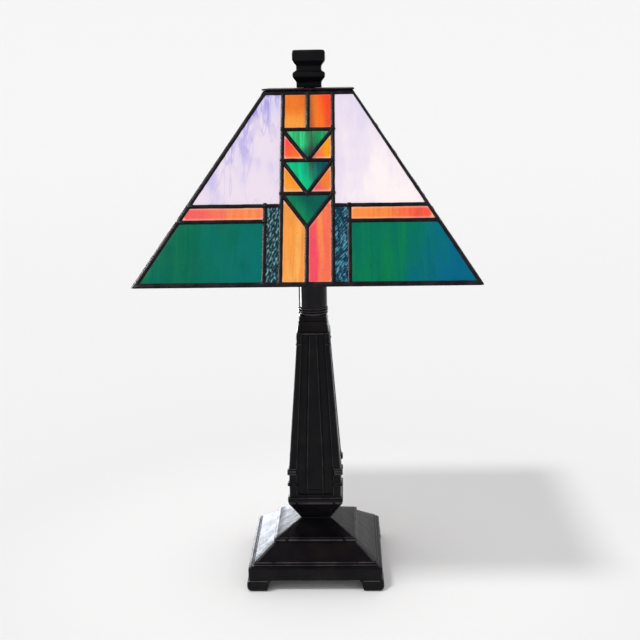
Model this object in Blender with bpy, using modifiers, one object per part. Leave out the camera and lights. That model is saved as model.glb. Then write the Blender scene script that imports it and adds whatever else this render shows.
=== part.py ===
"""Stained glass table lamp: a four-panel leaded shade on a tapered column and a stepped square base.

Metres, +Z up. The origin is on the table, at the middle of the base, and the front faces -Y.
"""

import math

import bmesh
import bpy
from mathutils import Matrix, Vector

# Fit between touching pieces.
GAP = 0.0003
MERGE = 0.00001

# Shade: a square pyramid cut off at the top, measured on the outside of its leading.
SHADE_HALF = 0.127
SHADE_BOTTOM = 0.2733
SHADE_TOP = 0.4096
SHADE_TILT = math.radians(34.1)
LEADING_THICK = 0.0044
GLASS_THICK = 0.0030
CAP_HALF = 0.0355
CAP_THICK = 0.0012

# Leading lines on one panel: x from the panel's middle, height measured up its slope.
LEAD = 0.0026
RIDGE_LEAD = 0.0045
BOTTOM_LEAD = 0.0044
TOP_LEAD = 0.0033
CENTRE_LINE = 0.0191
RIPPLE_LINE = 0.0311
BAR_TOP_LINE = 0.0658
BAR_BOTTOM_LINE = 0.0530

# Base: a hollow square casting on four corner feet.
FOOT_HALF = 0.0572
FOOT_HEIGHT = 0.0097
FOOT_INNER_TOP = 0.0382
FOOT_INNER_BOTTOM = 0.0405
COVER_HALF = 0.0389
COVER_THICK = 0.0020
PLINTH_HALF = 0.0562
BASE_TOP = 0.0651
WEIGHT_HALF = 0.0300
WEIGHT_BOTTOM = 0.0200
WEIGHT_TOP = 0.0285
INLET_HEIGHT = 0.0142
INLET_RADIUS = 0.0032

# Column: a square casting that tapers between a foot and a shoulder.
COLUMN_FOOT_HALF = 0.0235
COLUMN_HALF = 0.0220
COLUMN_NECK_HALF = 0.0117
COLUMN_TOP = 0.2260
TAPER_START = 0.0960
TAPER_END = 0.2140
TAPER_TOP_HALF = 0.0132

# Stem and the threaded pipe that ties the lamp together.
COLLAR_TOP = 0.2320
STEM_RADIUS = 0.0119
STEM_TOP = 0.2810
PIPE_RADIUS = 0.0050
PIPE_BORE = 0.0037
PIPE_BOTTOM = 0.0130
PIPE_TOP = 0.4255
PIPE_HOLE = PIPE_RADIUS + GAP
NUT_RADIUS = 0.0095
NUT_THICK = 0.0050

# Lampholder, lamp and switch, all set behind the pipe on a strap.
SOCKET_Y = 0.0320
STRAP_THICK = 0.0015
STRAP_HALF_WIDTH = 0.0090
SOCKET_RADIUS = 0.0170
SOCKET_TOP = 0.3190
SOCKET_FLOOR = 0.0080
SHELL_OUTER = 0.0140
SHELL_INNER = 0.0135
BULB_CAP_RADIUS = 0.0132
BULB_NECK = 0.0119
BULB_RADIUS = 0.0225
BULB_LENGTH = 0.0750
BULB_WALL = 0.0008
KEY_RADIUS = 0.0055

# Finial: a square block in two tiers.
FINIAL_TOP = 0.4407
FINIAL_HALF = 0.0128
FINIAL_NECK_HALF = 0.0098

# Heights that follow from the pieces below them.
CAP_BOTTOM = SHADE_TOP + GAP
CAP_TOP = CAP_BOTTOM + CAP_THICK
STRAP_BOTTOM = STEM_TOP + GAP
STRAP_TOP = STRAP_BOTTOM + STRAP_THICK
SOCKET_BOTTOM = STRAP_TOP + GAP
SHELL_BOTTOM = SOCKET_BOTTOM + SOCKET_FLOOR + GAP
CONTACT_TOP = SHELL_BOTTOM + 0.0026
BULB_BOTTOM = CONTACT_TOP + GAP
BULB_CENTRE = BULB_BOTTOM + BULB_LENGTH - BULB_RADIUS
KEY_HEIGHT = SOCKET_BOTTOM + SOCKET_FLOOR / 2

SIDES = ("front", "right", "back", "left")
ROUND = 24
FINE_ROUND = 32

for old in list(bpy.data.objects):
    bpy.data.objects.remove(old, do_unlink=True)

lamp = bpy.data.collections.new("stained_glass_table_lamp")
cutters = bpy.data.collections.new("cutters")
bpy.context.scene.collection.children.link(lamp)
bpy.context.scene.collection.children.link(cutters)


def finish(name, colour, roughness, metallic=0.0):
    """One Principled material."""
    material = bpy.data.materials.new(name)
    material.use_nodes = True
    shader = material.node_tree.nodes["Principled BSDF"]
    shader.inputs["Base Color"].default_value = (*colour, 1.0)
    shader.inputs["Roughness"].default_value = roughness
    shader.inputs["Metallic"].default_value = metallic
    material.diffuse_color = (*colour, 1.0)
    material.roughness = roughness
    material.metallic = metallic
    return material


BLACK_CAST = ("black_cast", (0.012, 0.012, 0.013), 0.30, 0.0)
LEAD_LINE = ("dark_solder", (0.020, 0.018, 0.020), 0.35, 0.7)
STEEL = ("plated_steel", (0.55, 0.55, 0.54), 0.35, 1.0)
BRASS = ("brass", (0.70, 0.50, 0.20), 0.30, 1.0)
BLACK_PLASTIC = ("black_phenolic", (0.015, 0.014, 0.014), 0.45, 0.0)
IRON = ("cast_iron", (0.09, 0.09, 0.09), 0.80, 0.6)
FELT = ("green_felt", (0.02, 0.06, 0.035), 0.95, 0.0)
OPAL = ("opal_glass", (0.92, 0.90, 0.85), 0.25, 0.0)
GLASS_COLOURS = {
    "lavender_glass": (0.76, 0.70, 0.88),
    "coral_bar": (0.95, 0.22, 0.10),
    "green_glass": (0.01, 0.20, 0.16),
    "ripple_glass": (0.03, 0.12, 0.13),
    "centre_glass": (0.90, 0.28, 0.07),
}


def add_object(name, mesh, look, parent=None, sharp_angle=None, collection=None):
    """Put a mesh into the scene as a sub-part, with a material of its own."""
    obj = bpy.data.objects.new(name, mesh)
    (collection or lamp).objects.link(obj)
    if look is not None:
        material = finish(name + "_" + look[0], *look[1:])
        obj.data.materials.clear()
        obj.data.materials.append(material)
    if sharp_angle is not None:
        mesh.shade_smooth()
        mesh.set_sharp_from_angle(angle=math.radians(sharp_angle))
    if parent is not None:
        obj.parent = parent
        obj.matrix_parent_inverse = parent.matrix_world.inverted()
    return obj


def add_axis(name, location):
    """An empty on a joint's axis, which the moving pieces hang from."""
    empty = bpy.data.objects.new(name, None)
    empty.empty_display_size = 0.02
    empty.location = location
    lamp.objects.link(empty)
    bpy.context.view_layer.update()
    return empty


def outline_mesh(name, points, closed):
    """Edges through (radius, height) points in the XZ plane, for a Screw modifier."""
    bm = bmesh.new()
    verts = [bm.verts.new((radius, 0.0, height)) for radius, height in points]
    for first, second in zip(verts, verts[1:]):
        bm.edges.new((first, second))
    if closed:
        bm.edges.new((verts[-1], verts[0]))
    mesh = bpy.data.meshes.new(name)
    bm.to_mesh(mesh)
    bm.free()
    return mesh


def turned(name, points, look, steps=ROUND, parent=None, closed=True):
    """Turn a profile, which runs down its outer side, about Z."""
    obj = add_object(name, outline_mesh(name, points, closed), look, parent)
    screw = obj.modifiers.new("turn", "SCREW")
    screw.steps = steps
    screw.render_steps = steps
    screw.use_merge_vertices = True
    screw.merge_threshold = MERGE
    screw.use_smooth_shade = steps > 8
    return obj


def square_turned(name, points, look, parent=None, closed=True):
    """Turn a profile of (half width, height) in four steps, which gives a square section."""
    corners = [(half * math.sqrt(2.0), height) for half, height in points]
    obj = turned(name, corners, look, 4, parent, closed)
    obj.rotation_euler.z = math.radians(45.0)
    return obj


def add_cutter(name, mesh, location=(0.0, 0.0, 0.0), rotation=(0.0, 0.0, 0.0)):
    """A hidden body that a Boolean modifier cuts with."""
    obj = add_object(name, mesh, None, collection=cutters)
    obj.location = location
    obj.rotation_euler = rotation
    obj.hide_render = True
    obj.display_type = "WIRE"
    return obj


def box_mesh(name, size_x, size_y, size_z):
    bm = bmesh.new()
    bmesh.ops.create_cube(bm, size=1.0)
    bmesh.ops.scale(bm, vec=(size_x, size_y, size_z), verts=bm.verts)
    mesh = bpy.data.meshes.new(name)
    bm.to_mesh(mesh)
    bm.free()
    return mesh


def cylinder_mesh(name, radius, depth, segments=ROUND):
    bm = bmesh.new()
    bmesh.ops.create_cone(bm, cap_ends=True, segments=segments, radius1=radius, radius2=radius, depth=depth)
    mesh = bpy.data.meshes.new(name)
    bm.to_mesh(mesh)
    bm.free()
    return mesh


def cut(obj, cutter, operation="DIFFERENCE"):
    boolean = obj.modifiers.new(cutter.name, "BOOLEAN")
    boolean.operation = operation
    boolean.solver = "EXACT"
    boolean.object = cutter


def bore(obj, name, radius, bottom, top, x=0.0, y=0.0, segments=ROUND):
    """Cut an upright round hole."""
    cut(obj, add_cutter(name, cylinder_mesh(name, radius, top - bottom, segments), (x, y, (bottom + top) / 2)))


def bake_modifiers(obj, name):
    """The object's evaluated shape as a plain mesh: doubles welded and sliver triangles turned."""
    bpy.context.view_layer.update()
    evaluated = obj.evaluated_get(bpy.context.evaluated_depsgraph_get())
    mesh = bpy.data.meshes.new_from_object(evaluated)
    mesh.name = name
    bm = bmesh.new()
    bm.from_mesh(mesh)
    bmesh.ops.remove_doubles(bm, verts=bm.verts, dist=MERGE)
    bmesh.ops.beautify_fill(bm, faces=bm.faces, edges=bm.edges, method="ANGLE")
    bm.to_mesh(mesh)
    bm.free()
    return mesh


def flat_mesh(name, outlines, thickness, centre):
    """A plate in the local XY plane: closed outlines, the inner ones as holes, about height centre."""
    curve = bpy.data.curves.new(name, "CURVE")
    curve.dimensions = "2D"
    curve.fill_mode = "BOTH"
    curve.extrude = thickness / 2
    for outline in outlines:
        spline = curve.splines.new("POLY")
        spline.points.add(len(outline) - 1)
        spline.use_cyclic_u = True
        for point, (x, y) in zip(spline.points, outline):
            point.co = (x, y, 0.0, 1.0)
    obj = bpy.data.objects.new(name, curve)
    lamp.objects.link(obj)
    mesh = bake_modifiers(obj, name)
    mesh.transform(Matrix.Translation((0.0, 0.0, centre)))
    bpy.data.objects.remove(obj, do_unlink=True)
    bpy.data.curves.remove(curve)
    return mesh


def circle(radius, x=0.0, y=0.0, segments=ROUND):
    turns = [math.tau * step / segments for step in range(segments)]
    return [(x + radius * math.cos(turn), y + radius * math.sin(turn)) for turn in turns]


def inset(outline, distance):
    """Shrink a convex outline, listed anticlockwise, by moving every edge inwards."""
    lines = []
    for start, end in zip(outline, outline[1:] + outline[:1]):
        along = (Vector(end) - Vector(start)).normalized()
        inward = Vector((-along.y, along.x))
        lines.append((Vector(start) + inward * distance, along))
    corners = []
    for (before, before_along), (after, after_along) in zip(lines[-1:] + lines[:-1], lines):
        reach = (after - before).cross(after_along) / before_along.cross(after_along)
        corners.append(tuple(before + before_along * reach))
    return corners


# ---- Shade ----

PANEL_SLOPE = math.sin(SHADE_TILT)
PANEL_RISE = math.cos(SHADE_TILT)
PANEL_HEIGHT = (SHADE_TOP - SHADE_BOTTOM) / PANEL_RISE
EDGE_COS = math.cos(math.atan(PANEL_SLOPE))


def panel_half(height):
    """Half of the panel's width at a height up its slope."""
    return SHADE_HALF - PANEL_SLOPE * height


def ridge_line(height):
    """The line that the outer glass is inset from, beside the ridge."""
    return panel_half(height) - (RIDGE_LEAD - LEAD / 2) / EDGE_COS


def panel_cells():
    """Convex fields between the middles of the leading lines, for the right half and the centre."""
    bottom = BOTTOM_LEAD - LEAD / 2
    top = PANEL_HEIGHT - TOP_LEAD + LEAD / 2

    def field(left, low, high):
        return [(left, low), (ridge_line(low), low), (ridge_line(high), high), (left, high)]

    def strip(left, right, low, high):
        return [(left, low), (right, low), (right, high), (left, high)]

    halves = {
        "lavender_glass": field(CENTRE_LINE, BAR_TOP_LINE, top),
        "coral_bar": field(RIPPLE_LINE, BAR_BOTTOM_LINE, BAR_TOP_LINE),
        "green_glass": field(RIPPLE_LINE, bottom, BAR_BOTTOM_LINE),
        "ripple_glass": strip(CENTRE_LINE, RIPPLE_LINE, bottom, BAR_TOP_LINE),
    }
    cells = {"centre_glass": strip(-CENTRE_LINE, CENTRE_LINE, bottom, top)}
    for name, cell in halves.items():
        cells[name + "_right"] = cell
        cells[name + "_left"] = [(-x, height) for x, height in reversed(cell)]
    return cells


def panel_place(quarter):
    """Where a panel's own frame (x across, y up the slope, z outwards) stands on the shade."""
    lean = Matrix.Rotation(math.pi / 2 - SHADE_TILT, 4, "X")
    front = Matrix.Translation((0.0, -SHADE_HALF, SHADE_BOTTOM)) @ lean
    return Matrix.Rotation(quarter * math.pi / 2, 4, "Z") @ front


def leading_mesh(cells):
    """One panel's leading: a plate with a window for each glass, mitred where panels meet."""
    spare = 0.004
    high = PANEL_HEIGHT + spare
    frame = [
        (-panel_half(-spare) - spare, -spare),
        (panel_half(-spare) + spare, -spare),
        (panel_half(high) + spare, high),
        (-panel_half(high) - spare, high),
    ]
    windows = [inset(cell, LEAD / 2) for cell in cells.values()]
    mesh = flat_mesh("panel_leading", [frame] + windows, LEADING_THICK, -LEADING_THICK / 2)
    blank = add_object("panel_leading_blank", mesh, None, collection=cutters)
    blank.matrix_world = panel_place(0)
    side = 0.2
    apex = -GAP / 2 * math.sqrt(2.0)
    wedge = box_mesh("mitre_wedge", side, side, SHADE_TOP - SHADE_BOTTOM)
    place = (0.0, apex - side / math.sqrt(2.0), (SHADE_TOP + SHADE_BOTTOM) / 2)
    cutter = add_cutter("mitre_wedge", wedge, place, (0.0, 0.0, math.pi / 4))
    cut(blank, cutter, "INTERSECT")
    trimmed = bake_modifiers(blank, "panel_leading")
    bpy.data.objects.remove(blank, do_unlink=True)
    return trimmed


def make_shade():
    axis = add_axis("shade_axis", (0.0, 0.0, SHADE_BOTTOM))
    cells = panel_cells()
    leading = leading_mesh(cells)
    for quarter, side in enumerate(SIDES):
        place = panel_place(quarter)
        own = leading.copy()
        add_object(side + "_leading", own, LEAD_LINE, axis).matrix_world = place
        for name, cell in cells.items():
            outline = inset(cell, LEAD / 2 + GAP)
            mesh = flat_mesh(name, [outline], GLASS_THICK, -LEADING_THICK / 2)
            kind = name.replace("_right", "").replace("_left", "")
            look = (kind, GLASS_COLOURS[kind], 0.2)
            add_object(side + "_" + name, mesh, look, axis).matrix_world = place
    corner = CAP_HALF
    square = [(-corner, -corner), (corner, -corner), (corner, corner), (-corner, corner)]
    cap = flat_mesh("shade_cap", [square, circle(PIPE_HOLE + 0.0001)], CAP_THICK, CAP_BOTTOM + CAP_THICK / 2)
    add_object("shade_cap", cap, LEAD_LINE, axis)


def make_finial():
    bottom = CAP_TOP + GAP
    profile = [
        (0.0, FINIAL_TOP),
        (FINIAL_HALF - 0.0016, FINIAL_TOP),
        (FINIAL_HALF, FINIAL_TOP - 0.0012),
        (FINIAL_HALF, 0.4320),
        (FINIAL_NECK_HALF, 0.4286),
        (FINIAL_NECK_HALF, 0.4252),
        (FINIAL_HALF, 0.4236),
        (FINIAL_HALF, 0.4196),
        (FINIAL_NECK_HALF, 0.4160),
        (FINIAL_NECK_HALF, bottom),
        (0.0, bottom),
    ]
    finial = square_turned("finial", profile, BLACK_CAST, closed=False)
    bore(finial, "finial_thread", PIPE_HOLE, bottom - 0.01, PIPE_TOP + 0.001)


# ---- Base ----

def make_base():
    profile = [
        (0.0, BASE_TOP),
        (0.0230, BASE_TOP),
        (0.0130, 0.0473),
        (0.0354, 0.0368),
        (0.0354, 0.0340),
        (0.0513, 0.0227),
        (0.0529, 0.0219),
        (0.0537, 0.0204),
        (PLINTH_HALF, 0.0186),
        (PLINTH_HALF, FOOT_HEIGHT),
        (FOOT_HALF, FOOT_HEIGHT - 0.0005),
        (FOOT_HALF, 0.0015),
        (FOOT_HALF - 0.0015, 0.0),
        (COVER_HALF + GAP, 0.0),
        (COVER_HALF + GAP, 0.0120),
        (0.0340, 0.0120),
        (0.0340, 0.0290),
        (0.0100, 0.0410),
        (0.0, 0.0410),
    ]
    base = square_turned("base_casting", profile, BLACK_CAST, closed=False)
    for name, turn in (("foot_gap_front", 0.0), ("foot_gap_side", math.pi / 2)):
        mesh = box_mesh(name, 2 * FOOT_INNER_TOP, 0.13, FOOT_HEIGHT + 0.001)
        for vert in mesh.vertices:
            if vert.co.z < 0.0:
                vert.co.x *= FOOT_INNER_BOTTOM / FOOT_INNER_TOP
        cut(base, add_cutter(name, mesh, (0.0, 0.0, (FOOT_HEIGHT - 0.001) / 2), (0.0, 0.0, turn)))
    bore(base, "base_pipe_hole", PIPE_HOLE, 0.035, 0.070)
    inlet = cylinder_mesh("inlet_hole", INLET_RADIUS, 0.030, 16)
    cut(base, add_cutter("inlet_hole", inlet, (0.0, 0.045, INLET_HEIGHT), (math.pi / 2, 0.0, 0.0)))

    weight = box_mesh("base_weight", 2 * WEIGHT_HALF, 2 * WEIGHT_HALF, WEIGHT_TOP - WEIGHT_BOTTOM)
    weight.transform(Matrix.Translation((0.0, 0.0, (WEIGHT_TOP + WEIGHT_BOTTOM) / 2)))
    weight = add_object("base_weight", weight, IRON)
    bore(weight, "weight_hole", PIPE_HOLE + 0.0005, WEIGHT_BOTTOM - 0.002, WEIGHT_TOP + 0.002)

    cover = box_mesh("base_cover", 2 * COVER_HALF, 2 * COVER_HALF, COVER_THICK)
    cover.transform(Matrix.Translation((0.0, 0.0, FOOT_HEIGHT + COVER_THICK / 2)))
    add_object("base_cover", cover, FELT)

    flange = PLINTH_HALF + GAP
    bush_outer = INLET_RADIUS - GAP
    bush_bore = 0.0019
    bush_profile = [
        (bush_bore, flange + 0.0012),
        (bush_outer + 0.0008, flange + 0.0012),
        (bush_outer + 0.0012, flange + 0.0008),
        (bush_outer + 0.0012, flange),
        (bush_outer, flange),
        (bush_outer, flange - 0.010),
        (bush_bore, flange - 0.010),
    ]
    bush = turned("cord_inlet_bushing", bush_profile, BLACK_PLASTIC, 16)
    bush.location.z = INLET_HEIGHT
    bush.rotation_euler.x = -math.pi / 2


# ---- Column and stem ----

def column_section(post, floor, rib, post_width, rib_half):
    """The column's outline at one height: corner posts, a sunk field and a raised middle rib."""
    edge = post - post_width
    side = [
        (-post, -post),
        (-edge, -post),
        (-edge, -floor),
        (-rib_half, -floor),
        (-rib_half, -rib),
        (rib_half, -rib),
        (rib_half, -floor),
        (edge, -floor),
        (edge, -post),
    ]
    outline = []
    for quarter in range(4):
        turn = Matrix.Rotation(quarter * math.pi / 2, 2)
        outline += [turn @ Vector(point) for point in side]
    return outline


def column_rows():
    """Heights up the column, each with its post, field and rib half widths."""
    chamfer = 0.0004
    sunk = 0.0014

    def plain(height, half):
        return (height, half, half - 0.0001, half - 0.00005)

    def fielded(height, half, band=0.0, rib=0.0010):
        return (height, half + band, half - sunk, half - sunk + rib)

    bottom = BASE_TOP + GAP
    rows = [
        plain(bottom, COLUMN_FOOT_HALF),
        plain(bottom + 0.0040, COLUMN_FOOT_HALF),
        plain(bottom + 0.0050, COLUMN_HALF + 0.0003),
        plain(0.0720, COLUMN_HALF),
        fielded(0.0720 + chamfer, COLUMN_HALF, rib=0.0001),
        fielded(0.0796, COLUMN_HALF, rib=0.0001),
    ]
    for low, high in ((0.0800, 0.0830), (0.0900, 0.0940)):
        rows += [
            fielded(low, COLUMN_HALF, 0.0015),
            fielded(high, COLUMN_HALF, 0.0015),
            fielded(high + chamfer, COLUMN_HALF),
            fielded(high + 0.0020, COLUMN_HALF) if high < TAPER_START - 0.005 else fielded(TAPER_START, COLUMN_HALF),
        ]
    taper = (TAPER_TOP_HALF - COLUMN_HALF) / (TAPER_END - TAPER_START)
    for height, band in ((0.2015, 0.0), (0.2020, 0.0006), (0.2105, 0.0006)):
        rows.append(fielded(height, COLUMN_HALF + taper * (height - TAPER_START), band))
    rows += [
        plain(0.2110, TAPER_TOP_HALF + 0.0005),
        plain(TAPER_END, TAPER_TOP_HALF),
        plain(0.2210, COLUMN_NECK_HALF),
        plain(COLUMN_TOP, COLUMN_NECK_HALF),
    ]
    return rows


def make_column():
    bm = bmesh.new()
    rings = []
    for height, post, floor, rib in column_rows():
        rib_half = 0.0068 - 0.0040 * max(0.0, min(1.0, (height - TAPER_START) / (TAPER_END - TAPER_START)))
        section = column_section(post, floor, rib, 0.31 * post, rib_half)
        rings.append([bm.verts.new((point.x, point.y, height)) for point in section])
    for low, high in zip(rings, rings[1:]):
        for index in range(len(low)):
            after = (index + 1) % len(low)
            bm.faces.new((low[index], low[after], high[after], high[index]))
    bm.faces.new(reversed(rings[0]))
    bm.faces.new(rings[-1])
    mesh = bpy.data.meshes.new("column_casting")
    bm.to_mesh(mesh)
    bm.free()
    column = add_object("column_casting", mesh, BLACK_CAST)
    bore(column, "column_bore", 0.0065, BASE_TOP - 0.005, COLUMN_TOP + 0.005)


def make_stem():
    collar_bottom = COLUMN_TOP + GAP
    groove = 0.0007
    collar = [(0.0065, COLLAR_TOP), (STEM_RADIUS + 0.0002, COLLAR_TOP)]
    for height in (0.2305, 0.2285):
        collar += [
            (STEM_RADIUS + 0.0008, height + 0.0006),
            (STEM_RADIUS + 0.0008 - groove, height),
            (STEM_RADIUS + 0.0008, height - 0.0006),
        ]
    collar += [(STEM_RADIUS + 0.0004, collar_bottom), (0.0065, collar_bottom)]
    turned("stem_collar", collar, BLACK_CAST, FINE_ROUND)

    low = COLLAR_TOP + GAP
    wall = 0.0011
    tube = [
        (STEM_RADIUS - wall, STEM_TOP),
        (STEM_RADIUS, STEM_TOP),
        (STEM_RADIUS, low),
        (STEM_RADIUS - wall, low),
    ]
    turned("stem_tube", tube, BLACK_CAST, FINE_ROUND)

    pipe = [
        (PIPE_BORE, PIPE_TOP),
        (PIPE_RADIUS - 0.0005, PIPE_TOP),
        (PIPE_RADIUS, PIPE_TOP - 0.0005),
        (PIPE_RADIUS, PIPE_BOTTOM),
        (PIPE_BORE, PIPE_BOTTOM),
    ]
    turned("centre_pipe", pipe, STEEL)


def make_nut(name, bottom):
    """A hexagon nut on the pipe."""
    mesh = cylinder_mesh(name, NUT_RADIUS, NUT_THICK, 6)
    mesh.transform(Matrix.Translation((0.0, 0.0, bottom + NUT_THICK / 2)))
    nut = add_object(name, mesh, STEEL)
    bore(nut, name + "_thread", PIPE_HOLE, bottom - 0.002, bottom + NUT_THICK + 0.002)


# ---- Lampholder, lamp and switch ----

def make_lampholder():
    hole = PIPE_HOLE
    bend = 8
    front = [math.pi + math.pi * step / bend for step in range(bend + 1)]
    back = [math.pi * step / bend for step in range(bend + 1)]
    outline = [(STRAP_HALF_WIDTH * math.cos(turn), STRAP_HALF_WIDTH * math.sin(turn)) for turn in front]
    outline += [
        (STRAP_HALF_WIDTH * math.cos(turn), SOCKET_Y + STRAP_HALF_WIDTH * math.sin(turn)) for turn in back
    ]
    outlines = [outline, circle(hole), circle(hole, 0.0, SOCKET_Y)]
    strap = flat_mesh("socket_bracket", outlines, STRAP_THICK, STRAP_BOTTOM + STRAP_THICK / 2)
    add_object("socket_bracket", strap, STEEL)

    inner = SHELL_OUTER + GAP
    spigot = PIPE_RADIUS - 0.0001
    floor_top = SOCKET_BOTTOM + SOCKET_FLOOR
    swage_top = STRAP_BOTTOM - GAP
    swage_bottom = swage_top - 0.0015
    socket = [
        (0.0, floor_top),
        (inner, floor_top),
        (inner, SOCKET_TOP),
        (SOCKET_RADIUS - 0.0010, SOCKET_TOP),
        (SOCKET_RADIUS, SOCKET_TOP - 0.0010),
        (SOCKET_RADIUS, SOCKET_BOTTOM + 0.0020),
        (SOCKET_RADIUS - 0.0020, SOCKET_BOTTOM),
        (spigot, SOCKET_BOTTOM),
        (spigot, swage_top),
        (0.0070, swage_top),
        (0.0070, swage_bottom),
        (0.0, swage_bottom),
    ]
    body = turned("socket_body", socket, BLACK_PLASTIC, closed=False)
    body.location.y = SOCKET_Y
    shaft_hole = cylinder_mesh("key_shaft_hole", 0.0018, 0.012, 12)
    cut(body, add_cutter("key_shaft_hole", shaft_hole, (0.0160, SOCKET_Y, KEY_HEIGHT), (0.0, math.pi / 2, 0.0)))

    shell = [
        (SHELL_INNER, SOCKET_TOP - 0.0005),
        (SHELL_OUTER, SOCKET_TOP - 0.0005),
        (SHELL_OUTER, SHELL_BOTTOM),
        (SHELL_INNER, SHELL_BOTTOM),
    ]
    turned("screw_shell", shell, BRASS).location.y = SOCKET_Y

    contact = [
        (0.0, CONTACT_TOP),
        (0.0030, CONTACT_TOP),
        (0.0050, SHELL_BOTTOM + 0.0010),
        (0.0050, SHELL_BOTTOM),
        (0.0, SHELL_BOTTOM),
    ]
    turned("socket_contact", contact, BRASS, 12, closed=False).location.y = SOCKET_Y

    key = [
        (0.0, 0.0290),
        (KEY_RADIUS - 0.0008, 0.0290),
        (KEY_RADIUS, 0.0282),
        (KEY_RADIUS, 0.0205),
        (KEY_RADIUS - 0.0008, 0.0197),
        (0.0015, 0.0197),
        (0.0015, 0.0110),
        (0.0, 0.0110),
    ]
    knob = turned("switch_key", key, BLACK_PLASTIC, 16, closed=False)
    knob.location = (0.0, SOCKET_Y, KEY_HEIGHT)
    knob.rotation_euler.y = math.pi / 2


def make_bulb():
    axis = add_axis("bulb_axis", (0.0, SOCKET_Y, BULB_BOTTOM))
    cap_top = BULB_BOTTOM + 0.0252
    inner = BULB_CAP_RADIUS - 0.0009
    cap = [
        (0.0, BULB_BOTTOM + 0.0035),
        (0.0080, BULB_BOTTOM + 0.0045),
        (inner, BULB_BOTTOM + 0.0080),
        (inner, cap_top),
        (BULB_CAP_RADIUS, cap_top - 0.0005),
        (BULB_CAP_RADIUS, BULB_BOTTOM + 0.0065),
        (0.0085, BULB_BOTTOM + 0.0018),
        (0.0045, BULB_BOTTOM + 0.0012),
        (0.0045, BULB_BOTTOM),
        (0.0, BULB_BOTTOM),
    ]
    cap = [(radius, height - BULB_BOTTOM) for radius, height in cap]
    turned("bulb_cap", cap, BRASS, parent=axis, closed=False).location = axis.location

    def envelope(radius, neck):
        steps = 9
        last = math.pi - math.asin(neck / radius)
        turns = [last * step / steps for step in range(steps + 1)]
        return [(radius * math.sin(turn), BULB_CENTRE + radius * math.cos(turn)) for turn in turns]

    neck_bottom = cap_top - 0.0060
    outside = envelope(BULB_RADIUS, BULB_NECK) + [(BULB_NECK, neck_bottom)]
    inside = envelope(BULB_RADIUS - BULB_WALL, BULB_NECK - BULB_WALL) + [(BULB_NECK - BULB_WALL, neck_bottom)]
    glass = outside + inside[::-1]
    glass = [(radius, height - BULB_BOTTOM) for radius, height in glass]
    turned("bulb_glass", glass, OPAL, parent=axis, closed=False).location = axis.location


make_base()
make_nut("base_nut", PIPE_BOTTOM + 0.0010)
make_column()
make_stem()
make_lampholder()
make_nut("bracket_nut", STRAP_TOP + GAP)
make_bulb()
make_nut("shade_seat_nut", CAP_BOTTOM - GAP - NUT_THICK)
make_shade()
make_finial()
bpy.context.view_layer.update()
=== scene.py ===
import math

import bmesh
import bpy
from mathutils import Matrix, Vector, noise


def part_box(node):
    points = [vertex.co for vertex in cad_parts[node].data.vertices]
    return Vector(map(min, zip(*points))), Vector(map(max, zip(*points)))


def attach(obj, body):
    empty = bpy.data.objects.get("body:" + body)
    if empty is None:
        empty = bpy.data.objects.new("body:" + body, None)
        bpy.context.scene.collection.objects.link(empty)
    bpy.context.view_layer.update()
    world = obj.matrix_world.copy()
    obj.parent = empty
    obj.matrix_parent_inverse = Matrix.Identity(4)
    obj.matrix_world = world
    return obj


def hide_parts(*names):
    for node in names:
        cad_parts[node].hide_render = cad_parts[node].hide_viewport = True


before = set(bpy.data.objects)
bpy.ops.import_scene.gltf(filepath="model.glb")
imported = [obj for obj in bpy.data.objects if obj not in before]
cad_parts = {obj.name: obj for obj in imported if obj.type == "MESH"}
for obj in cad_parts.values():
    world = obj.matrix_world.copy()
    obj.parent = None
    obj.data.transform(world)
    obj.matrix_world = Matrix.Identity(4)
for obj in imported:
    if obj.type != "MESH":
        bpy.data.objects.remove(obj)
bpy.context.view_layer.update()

noise.seed_set(7)  # without this, noise_vector gives other values on every run
mm = 0.001
samePlace = 0.01 * mm
sides = ("front", "right", "back", "left")


def fromScreen(red, green, blue):  # 0-255 screen colour to linear
    parts = []
    for value in (red, green, blue):
        value /= 255.0
        parts.append(value / 12.92 if value <= 0.04045 else ((value + 0.055) / 1.055) ** 2.4)
    return (*parts, 1.0)


def meshFrom(bm, name):
    mesh = bpy.data.meshes.new(name)
    bm.to_mesh(mesh)
    bm.free()
    return mesh


def place(name, mesh, material=None):
    obj = bpy.data.objects.new(name, mesh)
    bpy.context.scene.collection.objects.link(obj)
    if material is not None:
        mesh.materials.clear()
        mesh.materials.append(material)
    return obj


def settle(obj):  # turn live modifiers into a plain mesh
    bpy.context.view_layer.update()
    evaluated = obj.evaluated_get(bpy.context.evaluated_depsgraph_get())
    mesh = bpy.data.meshes.new_from_object(evaluated)
    mesh.name = obj.name
    obj.modifiers.clear()
    old = obj.data
    obj.data = mesh
    if old.users == 0:
        bpy.data.meshes.remove(old)
    return obj


def smooth(obj, angle=35.0):
    obj.data.shade_smooth()
    obj.data.set_sharp_from_angle(angle=math.radians(angle))
    return obj


def markEdges(obj, widest=0.8 * mm):  # marks the narrow faces along outer corners, where paint wears and where the finishes paint a highlight
    bm = bmesh.new()
    bm.from_mesh(obj.data)
    layer = bm.faces.layers.float.new("edge")
    for face in bm.faces:
        long = sorted(face.edges, key=lambda edge: -edge.calc_length())[:2]
        turns = [edge.calc_face_angle_signed(0.0) for edge in long if edge.is_manifold]
        width = face.calc_area() / max(long[0].calc_length(), 1e-9)
        if width < widest and turns and min(turns) > math.radians(7.0):
            face[layer] = 1.0
    bm.to_mesh(obj.data)
    bm.free()
    return obj


def finished(obj, body, slotName, *nodes):
    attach(obj, body)
    if nodes:
        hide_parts(*nodes)
    return obj


def build(name, bm, finish, angle, body, slotName, node, wearAndSheen=False):  # from a mesh to a piece on its body
    piece = smooth(place(name, meshFrom(bm, name), finishes[finish]), angle)
    if wearAndSheen:
        markEdges(piece)
    return finished(piece, body, slotName, node)


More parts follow.
